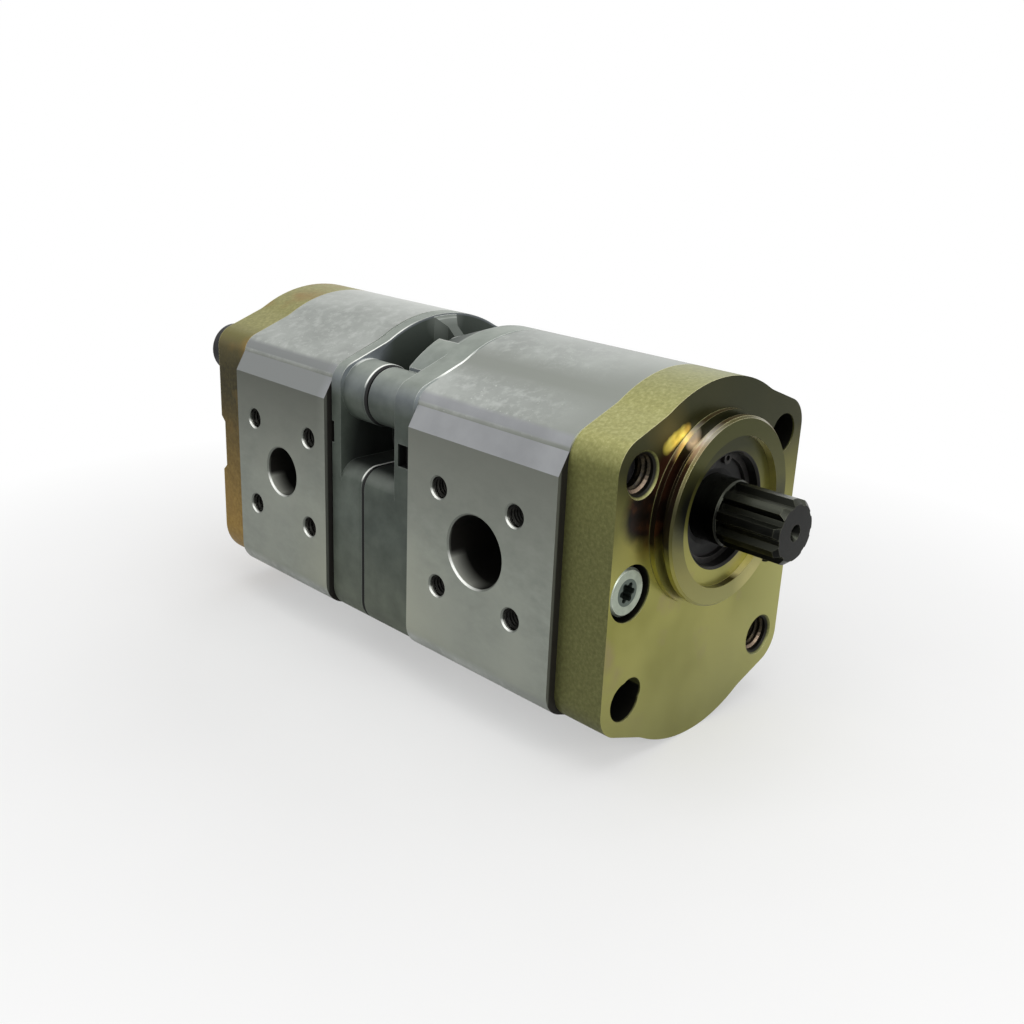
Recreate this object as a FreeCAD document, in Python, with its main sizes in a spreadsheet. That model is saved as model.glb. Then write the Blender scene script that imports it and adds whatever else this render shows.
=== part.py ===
import FreeCAD, Part
import math
import os

import Sketcher

# Tandem external gear pump: two gear stages on one shaft line, clamped by long bolts.
# The frame's origin is the centre of the hole square on the mounting face.
# +X points out of the mounting face along the drive shaft, -Y is the inlet side, +Z is the drive gear's side.

os.makedirs("parts", exist_ok=True)
doc = FreeCAD.newDocument("tandem_gear_pump")

SIZES = {
    # outline shared by the flange, the covers and the pump bodies
    "ear_side_wall": 9.1,
    "waist_rise": 0.9,
    "crown_over_chamber": 15.45,
    "crown_rise": 7.5,
    "ear_top_wall": 6.9,
    "ear_radius": 6.4,
    "foot_radius": 8.0,
    "flange_ear_radius": 8.8,
    "rear_foot_radius": 12.0,
    "ear_slope": 20.5,
    "ear_slope_end": 20.0,
    "ear_blend": 16.0,
    # gears and their axes
    "centre_distance": 31.2,
    "teeth": 12,
    "pressure_angle": 27.0,
    "tip_radius": 18.1,
    "root_radius": 12.6,
    "backlash": 0.2,
    "front_gear_width": 23.4,
    "rear_gear_width": 14.5,
    "chamber_gap": 0.35,
    "side_clearance": 0.05,
    # bearing blocks and bushes
    "block_length": 15.5,
    "block_gap": 0.1,
    "block_end_gap": 0.15,
    "journal_radius": 9.0,
    "journal_clearance": 0.04,
    "bush_wall": 1.5,
    "bush_recess": 0.4,
    "relief_width": 5.0,
    "relief_reach": 4.2,
    "relief_depth": 0.8,
    "block_seal_radius": 16.6,
    "block_seal_width": 2.2,
    "block_seal_depth": 1.6,
    # lengths of the castings along the shaft
    "flange_thickness": 15.5,
    "end_cover_length": 22.7,
    "end_cover_plate": 8.5,
    "middle_cover_length": 15.0,
    "middle_cover_plate": 4.8,
    "rear_cover_thickness": 15.3,
    # face seals between the castings
    "seal_radius": 22.6,
    "seal_width": 2.4,
    "seal_depth": 1.8,
    "seal_gap": 0.1,
    # port pads and ports
    "pad_rise": 3.2,
    "pad_half_height": 28.0,
    "pad_chamfer_top": 35.0,
    "pad_chamfer_depth": 4.1,
    "pad_root_depth": 8.1,
    "front_port_position": -43.6,
    "rear_port_position": -130.5,
    "front_inlet_radius": 10.0,
    "rear_inlet_radius": 7.5,
    "outlet_radius": 7.5,
    "port_bore_depth": 21.5,
    "port_throat_step": 0.8,
    "port_chamfer": 0.5,
    "inlet_bolt_spacing": 28.28,
    "outlet_bolt_spacing": 24.75,
    "port_bolt_radius": 3.0,
    "port_bolt_depth": 12.5,
    "port_bolt_chamfer": 0.4,
    # mounting holes and long bolts
    "bolt_spacing": 60.0,
    "bolt_radius": 5.0,
    "tie_hole_radius": 5.25,
    "open_hole_radius": 5.5,
    "tapped_clearance": 0.1,
    "tapped_chamfer": 1.0,
    "hole_lobe_radius": 4.4,
    "hole_lobe_shift": 1.75,
    "bolt_end": -6.0,
    "bolt_head_radius": 8.0,
    "bolt_head_height": 6.2,
    "bolt_head_chamfer": 0.7,
    "bolt_socket_width": 7.0,
    "bolt_socket_depth": 3.6,
    # flange screws
    "screw_spacing": 62.4,
    "screw_radius": 4.0,
    "screw_head_radius": 6.4,
    "screw_head_height": 5.0,
    "screw_head_chamfer": 0.6,
    "screw_sink": 0.9,
    "screw_length": 23.0,
    "screw_counterbore_radius": 7.55,
    "screw_hole_radius": 4.4,
    "screw_socket_radius": 2.8,
    "screw_socket_lobe": 0.75,
    "screw_socket_depth": 2.6,
    "screw_fit": 0.05,
    # locating pins
    "pin_radius": 2.5,
    "pin_half_length": 4.0,
    "pin_end_gap": 0.3,
    "pin_fit": 0.02,
    "pin_across": 30.5,
    "pin_height": 13.5,
    # pilot spigot on the flange
    "pilot_radius": 25.0,
    "pilot_length": 6.0,
    "pilot_land": 2.0,
    "pilot_neck_radius": 22.6,
    "pilot_base_radius": 25.8,
    "pilot_base_length": 1.6,
    "pilot_chamfer": 0.6,
    "pilot_recess_radius": 20.0,
    "pilot_recess_depth": 2.0,
    # drive shaft and its seal
    "shaft_reach": 24.5,
    "spline_start": 7.0,
    "spline_outer_radius": 8.5,
    "spline_root_radius": 7.0,
    "spline_teeth": 9,
    "spline_tooth_root_half": 1.75,
    "spline_tooth_tip_half": 1.05,
    "spline_turn": 0.0,
    "spline_chamfer": 1.2,
    "centre_hole_radius": 2.2,
    "centre_hole_depth": 5.0,
    "neck_radius": 8.75,
    "shaft_hole_radius": 9.6,
    "shaft_chamfer": 0.5,
    "seal_bore_radius": 15.0,
    "seal_bore_depth": 11.5,
    "shaft_seal_width": 7.0,
    "shaft_seal_end_gap": 0.2,
    "shaft_seal_wall": 1.6,
    "shaft_seal_web": 2.0,
    "shaft_seal_lip": 1.4,
    "lip_clearance": 0.05,
    "ring_thickness": 1.2,
    "ring_width": 2.3,
    "ring_groove_depth": 0.7,
    "ring_clearance": 0.05,
    "ring_gap_half": 1.9,
    "ring_lug_radius": 1.6,
    "ring_lug_across": 3.4,
    "ring_lug_height": 12.6,
    "ring_lug_hole_radius": 0.75,
    "seal_fit": 0.02,
    # shaft coupling between the stages
    "coupling_radius": 12.0,
    "coupling_bore_radius": 13.0,
    "coupling_wall": 3.5,
    "coupling_end_gap": 0.8,
    "coupling_chamfer": 0.8,
    "spline_fit": 0.08,
    "shaft_end_space": 1.0,
    "stage_seal_width": 5.0,
    "stage_seal_end_gap": 0.2,
    "spigot_radius": 15.5,
    "spigot_fit": 0.05,
    "spigot_length": 2.5,
    "spigot_end_gap": 0.2,
    "stage_ring_radius": 17.2,
    "stage_ring_depth": 1.5,
    # lightened waist between the stages
    "hub_radius": 20.5,
    "end_boss_radius": 8.5,
    "middle_boss_radius": 9.1,
    "lower_block_top": 9.7,
    "lower_block_shoulder": 6.2,
    "crown_wall": 5.0,
    "crown_side_end": 27.5,
    "crown_side_length": 8.7,
    "tongue_half_width": 17.5,
    "tongue_straight": 7.0,
    "tongue_joint_half_width": 6.9,
    "tongue_bottom": 33.0,
    "web_half_width": 1.9,
    "web_taper_length": 3.5,
    "web_flare": 2.6,
    "web_flare_length": 3.5,
    "web_top_gap": 0.5,
    "ramp_drop": 6.0,
    "ramp_angle": 70.0,
    "notch_low": 14.7,
    "notch_high": 21.3,
    "notch_depth": 3.0,
    "end_notch_length": 7.1,
    "middle_notch_length": 1.7,
    "cover_chamfer": 0.7,
    # rear cover
    "rear_recess_half": 7.5,
    "rear_recess_depth": 1.9,
    "rear_recess_slope": 1.8,
}

FORMULAS = {
    "axis_height": "=sizes.centre_distance / 2",
    "hole_offset": "=sizes.bolt_spacing / 2",
    "chamber_radius": "=sizes.tip_radius + sizes.chamber_gap",
    "block_radius": "=chamber_radius - sizes.block_gap",
    "stage_ends": "=2 * (sizes.block_length + sizes.side_clearance + sizes.block_end_gap)",
    "front_body_length": "=sizes.front_gear_width + stage_ends",
    "rear_body_length": "=sizes.rear_gear_width + stage_ends",
    "front_body_x": "=-sizes.flange_thickness",
    "end_cover_x": "=front_body_x - front_body_length",
    "middle_cover_x": "=end_cover_x - sizes.end_cover_length",
    "rear_body_x": "=middle_cover_x - sizes.middle_cover_length",
    "rear_cover_x": "=rear_body_x - rear_body_length",
    "rear_x": "=rear_cover_x - sizes.rear_cover_thickness",
    "front_gear_x": "=front_body_x - stage_ends / 2",
    "rear_gear_x": "=rear_body_x - stage_ends / 2",
    "bush_radius": "=sizes.journal_radius + sizes.journal_clearance",
    "bush_seat_radius": "=sizes.journal_radius + sizes.journal_clearance + sizes.bush_wall",
    "seal_inner_radius": "=sizes.seal_radius - sizes.seal_width / 2",
    "seal_outer_radius": "=sizes.seal_radius + sizes.seal_width / 2",
    "groove_inner_radius": "=seal_inner_radius - sizes.seal_gap",
    "groove_outer_radius": "=seal_outer_radius + sizes.seal_gap",
    "block_groove_radius": "=sizes.block_seal_radius + sizes.seal_gap",
    "coupling_x": "=end_cover_x - sizes.coupling_wall - sizes.coupling_end_gap",
    "stage_seal_x": "=rear_body_x + sizes.coupling_wall + sizes.stage_seal_end_gap + sizes.stage_seal_width",
    "coupling_end_x": "=stage_seal_x + sizes.coupling_end_gap",
    "coupling_middle_x": "=(coupling_x + coupling_end_x) / 2",
    "recess_x": "=sizes.pilot_length - sizes.pilot_recess_depth",
    "seal_bore_x": "=recess_x - sizes.seal_bore_depth",
    "shaft_seal_x": "=seal_bore_x + sizes.shaft_seal_end_gap + sizes.shaft_seal_width",
    "ring_x": "=shaft_seal_x + sizes.ring_clearance + sizes.ring_thickness",
    "ring_radius": "=sizes.seal_bore_radius + sizes.ring_groove_depth - sizes.ring_clearance",
    "chamber_waist": "=sqrt(chamber_radius ^ 2 - axis_height ^ 2)",
    "crown_top": "=axis_height + chamber_radius + sizes.crown_over_chamber",
    "crown_radius": "=crown_top - sizes.crown_rise",
    "crown_inner_radius": "=crown_radius - sizes.crown_wall",
    "half_width": "=hole_offset + sizes.ear_side_wall",
    "waist_half_width": "=half_width + sizes.waist_rise",
    "ear_corner": "=hole_offset + sizes.ear_top_wall",
    "slope_end_height": "=ear_corner + (half_width - sizes.ear_slope_end) * tan(sizes.ear_slope)",
    "pad_half_width": "=half_width + sizes.pad_rise",
    "pad_chamfer_half_width": "=pad_half_width - sizes.pad_chamfer_depth",
    "pad_root": "=half_width - sizes.pad_root_depth",
    "crown_side_start": "=sizes.tongue_half_width - 1",
    "pad_foot_height": "=ear_corner - sizes.pad_rise * tan(sizes.ear_slope)",
    "pad_root_height": "=ear_corner + sizes.pad_root_depth * tan(sizes.ear_slope)",
    "end_plate_x": "=end_cover_x - sizes.end_cover_plate",
    "middle_plate_x": "=rear_body_x + sizes.middle_cover_plate",
    "ramp_end_x": "=middle_cover_x - sizes.web_taper_length",
}


def make_sheet(name, cells):
    """A sheet with one named value on each row."""
    sheet = doc.addObject("Spreadsheet::Sheet", name)
    for row, (alias, content) in enumerate(cells.items(), 1):
        sheet.set(f"A{row}", alias)
        sheet.setAlias(f"B{row}", alias)
        sheet.set(f"B{row}", str(content))
    doc.recompute()
    return sheet


SHEETS = {"sizes": make_sheet("sizes", SIZES), "layout": make_sheet("layout", FORMULAS)}


def number(formula):
    """The present value of one cell, written as sheet.alias, with an optional leading minus."""
    sheet, alias = formula.lstrip("-").split(".")
    value = float(SHEETS[sheet].get(alias))
    return -value if formula.startswith("-") else value


def signed(formula, sign):
    return formula if sign > 0 else f"-{formula}"


def origin_part(body, role):
    return next(part for part in body.Origin.OriginFeatures if part.Role == role)


def new_body(label, height=None):
    """A body whose own X axis lies on the part's X axis, or parallel to it at a height."""
    body = doc.addObject("PartDesign::Body", label)
    body.Label = label
    if height:
        body.setExpression("Placement.Base.z", height)
    return body


def new_sketch(body, name, role, offset=None):
    sketch = body.newObject("Sketcher::SketchObject", name)
    sketch.AttachmentSupport = [(origin_part(body, role), "")]
    sketch.MapMode = "FlatFace"
    if offset:
        sketch.setExpression("AttachmentOffset.Base.z", offset)
    return sketch


def bind(sketch, kind, *place, formula):
    """Adds a dimension at its present value and ties it to a formula on the sheets."""
    if kind == "Radius":
        value = sketch.Geometry[place[0]].Radius
    else:
        point = sketch.getPoint(place[2], place[3])
        value = point.x if kind == "DistanceX" else point.y
    index = sketch.addConstraint(Sketcher.Constraint(kind, *place, value))
    sketch.setExpression(f"Constraints[{index}]", formula)


def fix_point(sketch, geometry, end, across, up):
    """Ties a point to its distances from the sketch's origin."""
    bind(sketch, "DistanceX", -1, 1, geometry, end, formula=across)
    bind(sketch, "DistanceY", -1, 1, geometry, end, formula=up)


def draw_circle(sketch, across, up, radius):
    centre = FreeCAD.Vector(1, 1, 0)
    circle = sketch.addGeometry(Part.Circle(centre, FreeCAD.Vector(0, 0, 1), 1.0))
    fix_point(sketch, circle, 3, across, up)
    bind(sketch, "Radius", circle, formula=radius)


def draw_polygon(sketch, corners):
    """A closed outline of straight lines through corners given as pairs of formulas."""
    count = len(corners)
    start = [
        FreeCAD.Vector(math.cos(math.tau * i / count), math.sin(math.tau * i / count), 0)
        for i in range(count)
    ]
    lines = [
        sketch.addGeometry(Part.LineSegment(start[i], start[(i + 1) % count])) for i in range(count)
    ]
    for i in range(count):
        sketch.addConstraint(
            Sketcher.Constraint("Coincident", lines[i], 2, lines[(i + 1) % count], 1)
        )
    for line, (across, up) in zip(lines, corners):
        fix_point(sketch, line, 1, across, up)


def draw_rectangle(sketch, low_across, low_up, high_across, high_up):
    draw_polygon(
        sketch,
        [
            (low_across, low_up),
            (high_across, low_up),
            (high_across, high_up),
            (low_across, high_up),
        ],
    )


def arc_between(centre, radius, start, end):
    """An arc running counter-clockwise from one angle to another, in radians."""
    circle = Part.Circle(FreeCAD.Vector(*centre, 0), FreeCAD.Vector(0, 0, 1), radius)
    return Part.ArcOfCircle(circle, start, end)


def join(sketch, pairs, kind="Tangent"):
    for first, first_end, second, second_end in pairs:
        sketch.addConstraint(Sketcher.Constraint(kind, first, first_end, second, second_end))


def draw_stadium(sketch, half_distance, radius):
    """Two half circles, above and below the origin, joined by straight sides."""
    reach = number(half_distance)
    size = number(radius)
    top = sketch.addGeometry(arc_between((0, reach), size, 0, math.pi))
    bottom = sketch.addGeometry(arc_between((0, -reach), size, math.pi, math.tau))
    left = sketch.addGeometry(
        Part.LineSegment(FreeCAD.Vector(-size, reach, 0), FreeCAD.Vector(-size, -reach, 0))
    )
    right = sketch.addGeometry(
        Part.LineSegment(FreeCAD.Vector(size, -reach, 0), FreeCAD.Vector(size, reach, 0))
    )
    join(sketch, [(top, 2, left, 1), (left, 2, bottom, 1), (bottom, 2, right, 1), (right, 2, top, 1)])
    sketch.addConstraint(Sketcher.Constraint("Vertical", left))
    fix_point(sketch, top, 3, "0", half_distance)
    fix_point(sketch, bottom, 3, "0", f"-{half_distance}")
    bind(sketch, "Radius", top, formula=radius)


def draw_figure_eight(sketch, half_distance, radius):
    """The outline of two overlapping circles, above and below the origin."""
    reach = number(half_distance)
    size = number(radius)
    dip = math.asin(reach / size)
    top = sketch.addGeometry(arc_between((0, reach), size, -dip, math.pi + dip))
    bottom = sketch.addGeometry(arc_between((0, -reach), size, math.pi - dip, math.tau + dip))
    join(sketch, [(top, 2, bottom, 1), (bottom, 2, top, 1)], "Coincident")
    fix_point(sketch, top, 3, "0", half_distance)
    fix_point(sketch, bottom, 3, "0", f"-{half_distance}")
    bind(sketch, "Radius", top, formula=radius)
    sketch.addConstraint(Sketcher.Constraint("PointOnObject", top, 1, -1))


def draw_crown_cap(sketch, side):
    """The part of the crown circle that stands beyond the ears' height, on one side (1 up, -1 down)."""
    radius = number("layout.crown_radius")
    rise = number("sizes.crown_rise")
    lift = math.asin((number("layout.ear_corner") - rise) / radius)
    begin = lift if side > 0 else math.pi + lift
    arc = sketch.addGeometry(arc_between((0, side * rise), radius, begin, begin + math.pi - 2 * lift))
    ends = [sketch.getPoint(arc, end) for end in (2, 1)]
    line = sketch.addGeometry(Part.LineSegment(*ends))
    join(sketch, [(arc, 2, line, 1), (line, 2, arc, 1)], "Coincident")
    fix_point(sketch, arc, 3, "0", signed("sizes.crown_rise", side))
    bind(sketch, "Radius", arc, formula="layout.crown_radius")
    sketch.addConstraint(Sketcher.Constraint("Horizontal", line))
    bind(sketch, "DistanceY", -1, 1, line, 1, formula=signed("layout.ear_corner", side))


def recompute(feature):
    """Brings the document up to date and stops at a feature that has failed."""
    doc.recompute()
    problems = [state for state in feature.State if state in ("Invalid", "Error")]
    if problems or feature.Shape.isNull():
        raise RuntimeError(f"{feature.Label} failed: {feature.State}")
    return feature


def extrude(body, name, draw, start, length, role="YZ_Plane", both=False):
    """Material from a station along the plane's axis, growing backwards by a length."""
    sketch = new_sketch(body, f"{name}_sketch", role, start)
    draw(sketch)
    doc.recompute()
    pad = body.newObject("PartDesign::Pad", name)
    pad.Profile = sketch
    pad.Reversed = not both
    pad.Midplane = both
    pad.setExpression("Length", length)
    return recompute(pad)


def check_cut(feature, before):
    recompute(feature)
    if feature.Shape.Volume > before - 1e-6:
        raise RuntimeError(f"{feature.Label} removes nothing")
    return feature


def cut(body, name, draw, start, length, role="YZ_Plane", both=False, forwards=False):
    """Removes a prism from a station, backwards along the plane's axis by a length."""
    before = body.Tip.Shape.Volume
    sketch = new_sketch(body, f"{name}_sketch", role, start)
    draw(sketch)
    doc.recompute()
    pocket = body.newObject("PartDesign::Pocket", name)
    pocket.Profile = sketch
    pocket.Midplane = both
    pocket.Reversed = forwards
    pocket.setExpression("Length", length)
    return check_cut(pocket, before)


def turn(body, name, corners, height=None, remove=False, angle="360"):
    """A profile of (station, radius) corners turned about the body's X axis or a line above it."""
    before = body.Tip.Shape.Volume if remove else 0
    sketch = new_sketch(body, f"{name}_sketch", "XZ_Plane")
    if height:
        sketch.setExpression("AttachmentOffset.Base.y", height)
    draw_polygon(sketch, corners)
    doc.recompute()
    kind = "PartDesign::Groove" if remove else "PartDesign::Revolution"
    feature = body.newObject(kind, name)
    feature.Profile = sketch
    feature.ReferenceAxis = (sketch, ["H_Axis"])
    feature.Midplane = True
    feature.setExpression("Angle", angle)
    return check_cut(feature, before) if remove else recompute(feature)


def dress(body, kind, name, chosen, size):
    """A fillet or chamfer on the edges of the last feature that a test picks out."""
    base = body.Tip
    names = [f"Edge{i}" for i, edge in enumerate(base.Shape.Edges, 1) if chosen(edge)]
    if not names:
        raise RuntimeError(f"{name} finds no edge")
    feature = body.newObject(f"PartDesign::{kind}", name)
    feature.Base = (base, names)
    feature.setExpression("Radius" if kind == "Fillet" else "Size", size)
    return recompute(feature)


def repeat(body, name, feature, count):
    """Copies a feature evenly round the body's X axis."""
    pattern = body.newObject("PartDesign::PolarPattern", name)
    pattern.Originals = [feature]
    pattern.Axis = (origin_part(body, "X_Axis"), [""])
    pattern.Angle = 360
    pattern.setExpression("Occurrences", count)
    body.Tip = pattern
    return recompute(pattern)


def runs_along_shaft(edge):
    """True for a straight edge parallel to X."""
    if not isinstance(edge.Curve, Part.Line):
        return False
    return abs(edge.Curve.Direction.x) > 0.999


def rim(axis, station, radius):
    """A test for circles of one radius that face along an axis (0 for X, 1 for Y) at a station."""

    def chosen(edge):
        curve = edge.Curve
        if not isinstance(curve, Part.Circle) or abs(abs(curve.Axis[axis]) - 1) > 1e-6:
            return False
        return abs(curve.Radius - radius) < 1e-4 and abs(curve.Center[axis] - station) < 1e-4

    return chosen


def corner_edges(distance, side):
    """A test for edges along the shaft on both side faces, above (1) or below (-1) the middle."""

    def chosen(edge):
        point = edge.Vertexes[0].Point
        return runs_along_shaft(edge) and abs(point.y) > distance - 1e-3 and point.z * side > 0

    return chosen


def joint_edges(*stations):
    """A test for edges that lie in the joint faces at the given stations, the hub's left sharp."""
    hub_radius = number("sizes.hub_radius")

    def chosen(edge):
        on_hub = abs(getattr(edge.Curve, "Radius", 0) - hub_radius) < 1e-3
        places = [vertex.Point.x for vertex in edge.Vertexes]
        in_joint = [all(abs(x - station) < 1e-4 for x in places) for station in stations]
        return any(in_joint) and not on_hub

    return chosen


def cast_section(
    body,
    start,
    length,
    half_width="layout.half_width",
    ear_radius="sizes.ear_radius",
    foot_radius="sizes.foot_radius",
):
    """The outline that the flange, covers and bodies share, as a solid block."""
    corners = [
        (half_width, "-layout.ear_corner"),
        (half_width, "layout.ear_corner"),
        ("sizes.ear_slope_end", "layout.slope_end_height"),
        ("-sizes.ear_slope_end", "layout.slope_end_height"),
        (f"-{half_width}", "layout.ear_corner"),
        (f"-{half_width}", "-layout.ear_corner"),
        ("-sizes.ear_slope_end", "-layout.slope_end_height"),
        ("sizes.ear_slope_end", "-layout.slope_end_height"),
    ]
    extrude(body, "casting", lambda sketch: draw_polygon(sketch, corners), start, length)
    for side, name in ((1, "upper_crown"), (-1, "lower_crown")):
        extrude(body, name, lambda sketch: draw_crown_cap(sketch, side), start, length)
    side_edge = number(half_width)
    dress(body, "Fillet", "ear_rounds", corner_edges(side_edge, 1), ear_radius)
    dress(body, "Fillet", "foot_rounds", corner_edges(side_edge, -1), foot_radius)
    inner = number("sizes.ear_slope_end")
    outer = side_edge - max(number(ear_radius), number(foot_radius))
    dress(
        body,
        "Fillet",
        "ear_blends",
        lambda edge: runs_along_shaft(edge) and inner < abs(edge.Vertexes[0].Point.y) < outer,
        "sizes.ear_blend",
    )


def circles_at(places, radius):
    """Draws one circle at each (across, up) pair of formulas."""

    def draw(sketch):
        for across, up in places:
            draw_circle(sketch, across, up, radius)

    return draw


TIE_CORNERS = [
    ("-layout.hole_offset", "layout.hole_offset"),
    ("layout.hole_offset", "-layout.hole_offset"),
]
OPEN_CORNERS = [
    ("layout.hole_offset", "layout.hole_offset"),
    ("-layout.hole_offset", "-layout.hole_offset"),
]
SCREW_PLACES = [("-sizes.screw_spacing / 2", "0"), ("sizes.screw_spacing / 2", "0")]
PIN_PLACES = [("sizes.pin_across", "sizes.pin_height"), ("-sizes.pin_across", "-sizes.pin_height")]
GEAR_PLACES = [("0", "layout.axis_height"), ("0", "-layout.axis_height")]


def cut_bolt_holes(body, start, length):
    """The corner holes: two that guide the long bolts and two left open for mounting bolts."""
    cut(body, "tie_holes", circles_at(TIE_CORNERS, "sizes.tie_hole_radius"), start, length)
    cut(body, "open_holes", circles_at(OPEN_CORNERS, "sizes.open_hole_radius"), start, length)


def cut_pin_holes(body, name, joint):
    """Two blind holes for locating pins, half on each side of a joint between castings."""
    cut(
        body,
        name,
        circles_at(PIN_PLACES, "sizes.pin_radius + sizes.pin_fit"),
        f"{joint} + sizes.pin_half_length + sizes.pin_end_gap",
        "2 * (sizes.pin_half_length + sizes.pin_end_gap)",
    )


def draw_seal(sketch, inner, outer):
    draw_stadium(sketch, "layout.axis_height", outer)
    draw_stadium(sketch, "layout.axis_height", inner)


def cut_seal_groove(body, name, bottom):
    """The groove round the gear chamber, from its bottom backwards or forwards to the joint."""
    cut(
        body,
        name,
        lambda sketch: draw_seal(sketch, "layout.groove_inner_radius", "layout.groove_outer_radius"),
        bottom,
        "sizes.seal_depth",
    )


def make_flange():
    """The front cover: mounting face, pilot spigot, seal bore and the four corner holes."""
    body = new_body("front_flange")
    radius = "sizes.flange_ear_radius"
    cast_section(body, "0", "sizes.flange_thickness", ear_radius=radius, foot_radius=radius)
    turn(
        body,
        "pilot",
        [
            ("-sizes.pilot_base_length", "0"),
            ("-sizes.pilot_base_length", "sizes.pilot_base_radius"),
            ("sizes.pilot_base_length", "sizes.pilot_base_radius"),
            ("sizes.pilot_base_length", "sizes.pilot_neck_radius"),
            ("sizes.pilot_length - sizes.pilot_land", "sizes.pilot_neck_radius"),
            ("sizes.pilot_length - sizes.pilot_land", "sizes.pilot_radius"),
            ("sizes.pilot_length - sizes.pilot_chamfer", "sizes.pilot_radius"),
            ("sizes.pilot_length", "sizes.pilot_radius - sizes.pilot_chamfer"),
            ("sizes.pilot_length", "sizes.pilot_recess_radius"),
            ("layout.recess_x", "sizes.pilot_recess_radius"),
            ("layout.recess_x", "0"),
        ],
        "layout.axis_height",
    )
    groove_x = "layout.ring_x + sizes.ring_clearance"
    turn(
        body,
        "seal_bore",
        [
            ("layout.recess_x", "0"),
            ("layout.recess_x", "sizes.seal_bore_radius + sizes.shaft_chamfer"),
            ("layout.recess_x - sizes.shaft_chamfer", "sizes.seal_bore_radius"),
            (groove_x, "sizes.seal_bore_radius"),
            (groove_x, "sizes.seal_bore_radius + sizes.ring_groove_depth"),
            ("layout.shaft_seal_x", "sizes.seal_bore_radius + sizes.ring_groove_depth"),
            ("layout.shaft_seal_x", "sizes.seal_bore_radius"),
            ("layout.seal_bore_x", "sizes.seal_bore_radius"),
            ("layout.seal_bore_x", "sizes.shaft_hole_radius"),
            ("layout.front_body_x", "sizes.shaft_hole_radius"),
            ("layout.front_body_x", "0"),
        ],
        "layout.axis_height",
        remove=True,
    )
    through = "sizes.flange_thickness"
    tapped = "sizes.bolt_radius + sizes.tapped_clearance"
    cut(body, "tapped_holes", circles_at(TIE_CORNERS, tapped), "0", through)
    mouth = number("sizes.bolt_radius") + number("sizes.tapped_clearance")
    dress(body, "Chamfer", "tapped_mouths", rim(0, 0, mouth), "sizes.tapped_chamfer")
    cut(body, "mounting_holes", circles_at(OPEN_CORNERS, "sizes.open_hole_radius"), "0", through)
    lobes = [
        (f"{across} {sign} sizes.hole_lobe_shift", f"{up} {sign} sizes.hole_lobe_shift")
        for (across, up), sign in zip(OPEN_CORNERS, "-+")
    ]
    cut(body, "hole_lobes", circles_at(lobes, "sizes.hole_lobe_radius"), "0", through)
    cut(
        body,
        "screw_seats",
        circles_at(SCREW_PLACES, "sizes.screw_counterbore_radius"),
        "0",
        "sizes.screw_sink + sizes.screw_head_height",
    )
    cut(body, "screw_holes", circles_at(SCREW_PLACES, "sizes.screw_hole_radius"), "0", through)
    cut_seal_groove(body, "seal_groove", "layout.front_body_x + sizes.seal_depth")
    cut_pin_holes(body, "pin_holes", "layout.front_body_x")
    return body


def make_shaft_seal():
    """The lip seal in the flange: a stiff outer ring, a web and a lip that faces the gears."""
    body = new_body("shaft_seal", "layout.axis_height")
    outside = "sizes.seal_bore_radius - sizes.seal_fit"
    lip = "sizes.neck_radius + sizes.lip_clearance"
    back = "layout.shaft_seal_x - sizes.shaft_seal_width"
    web = "layout.shaft_seal_x - sizes.shaft_seal_web"
    turn(
        body,
        "ring",
        [
            (back, outside),
            ("layout.shaft_seal_x", outside),
            ("layout.shaft_seal_x", f"{lip} + sizes.shaft_seal_lip"),
            (f"{web} + sizes.shaft_seal_lip", lip),
            (f"{back} + sizes.shaft_seal_lip", lip),
            (f"{back} + sizes.shaft_seal_lip / 2", f"{lip} + sizes.shaft_seal_lip"),
            (web, f"{lip} + sizes.shaft_seal_lip"),
            (web, f"{outside} - sizes.shaft_seal_wall"),
            (back, f"{outside} - sizes.shaft_seal_wall"),
        ],
    )
    return body


def make_retaining_ring():
    """The open ring that holds the shaft seal in, with two drilled lugs beside its gap."""
    body = new_body("seal_retaining_ring", "layout.axis_height")

    def draw_ring(sketch):
        draw_circle(sketch, "0", "0", "layout.ring_radius")
        draw_circle(sketch, "0", "0", "layout.ring_radius - sizes.ring_width")

    def draw_gap(sketch):
        draw_rectangle(sketch, "-sizes.ring_gap_half", "0", "sizes.ring_gap_half", "layout.ring_radius + 1")

    station = ("layout.ring_x", "sizes.ring_thickness")
    lugs = [(f"{sign}sizes.ring_lug_across", "sizes.ring_lug_height") for sign in ("", "-")]
    extrude(body, "ring", draw_ring, *station)
    extrude(body, "lugs", circles_at(lugs, "sizes.ring_lug_radius"), *station)
    cut(body, "gap", draw_gap, *station)
    cut(body, "lug_holes", circles_at(lugs, "sizes.ring_lug_hole_radius"), *station)
    return body


def draw_port_pads(sketch):
    """The two raised port faces, sloped back above and running out in the casting's feet below."""
    for sign in (1, -1):
        draw_polygon(
            sketch,
            [
                (signed("layout.pad_root", sign), "-layout.pad_root_height"),
                (signed("layout.pad_half_width", sign), "-layout.pad_foot_height"),
                (signed("layout.pad_half_width", sign), "sizes.pad_half_height"),
                (signed("layout.pad_chamfer_half_width", sign), "sizes.pad_chamfer_top"),
                (signed("layout.pad_root", sign), "sizes.pad_chamfer_top"),
            ],
        )


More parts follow.
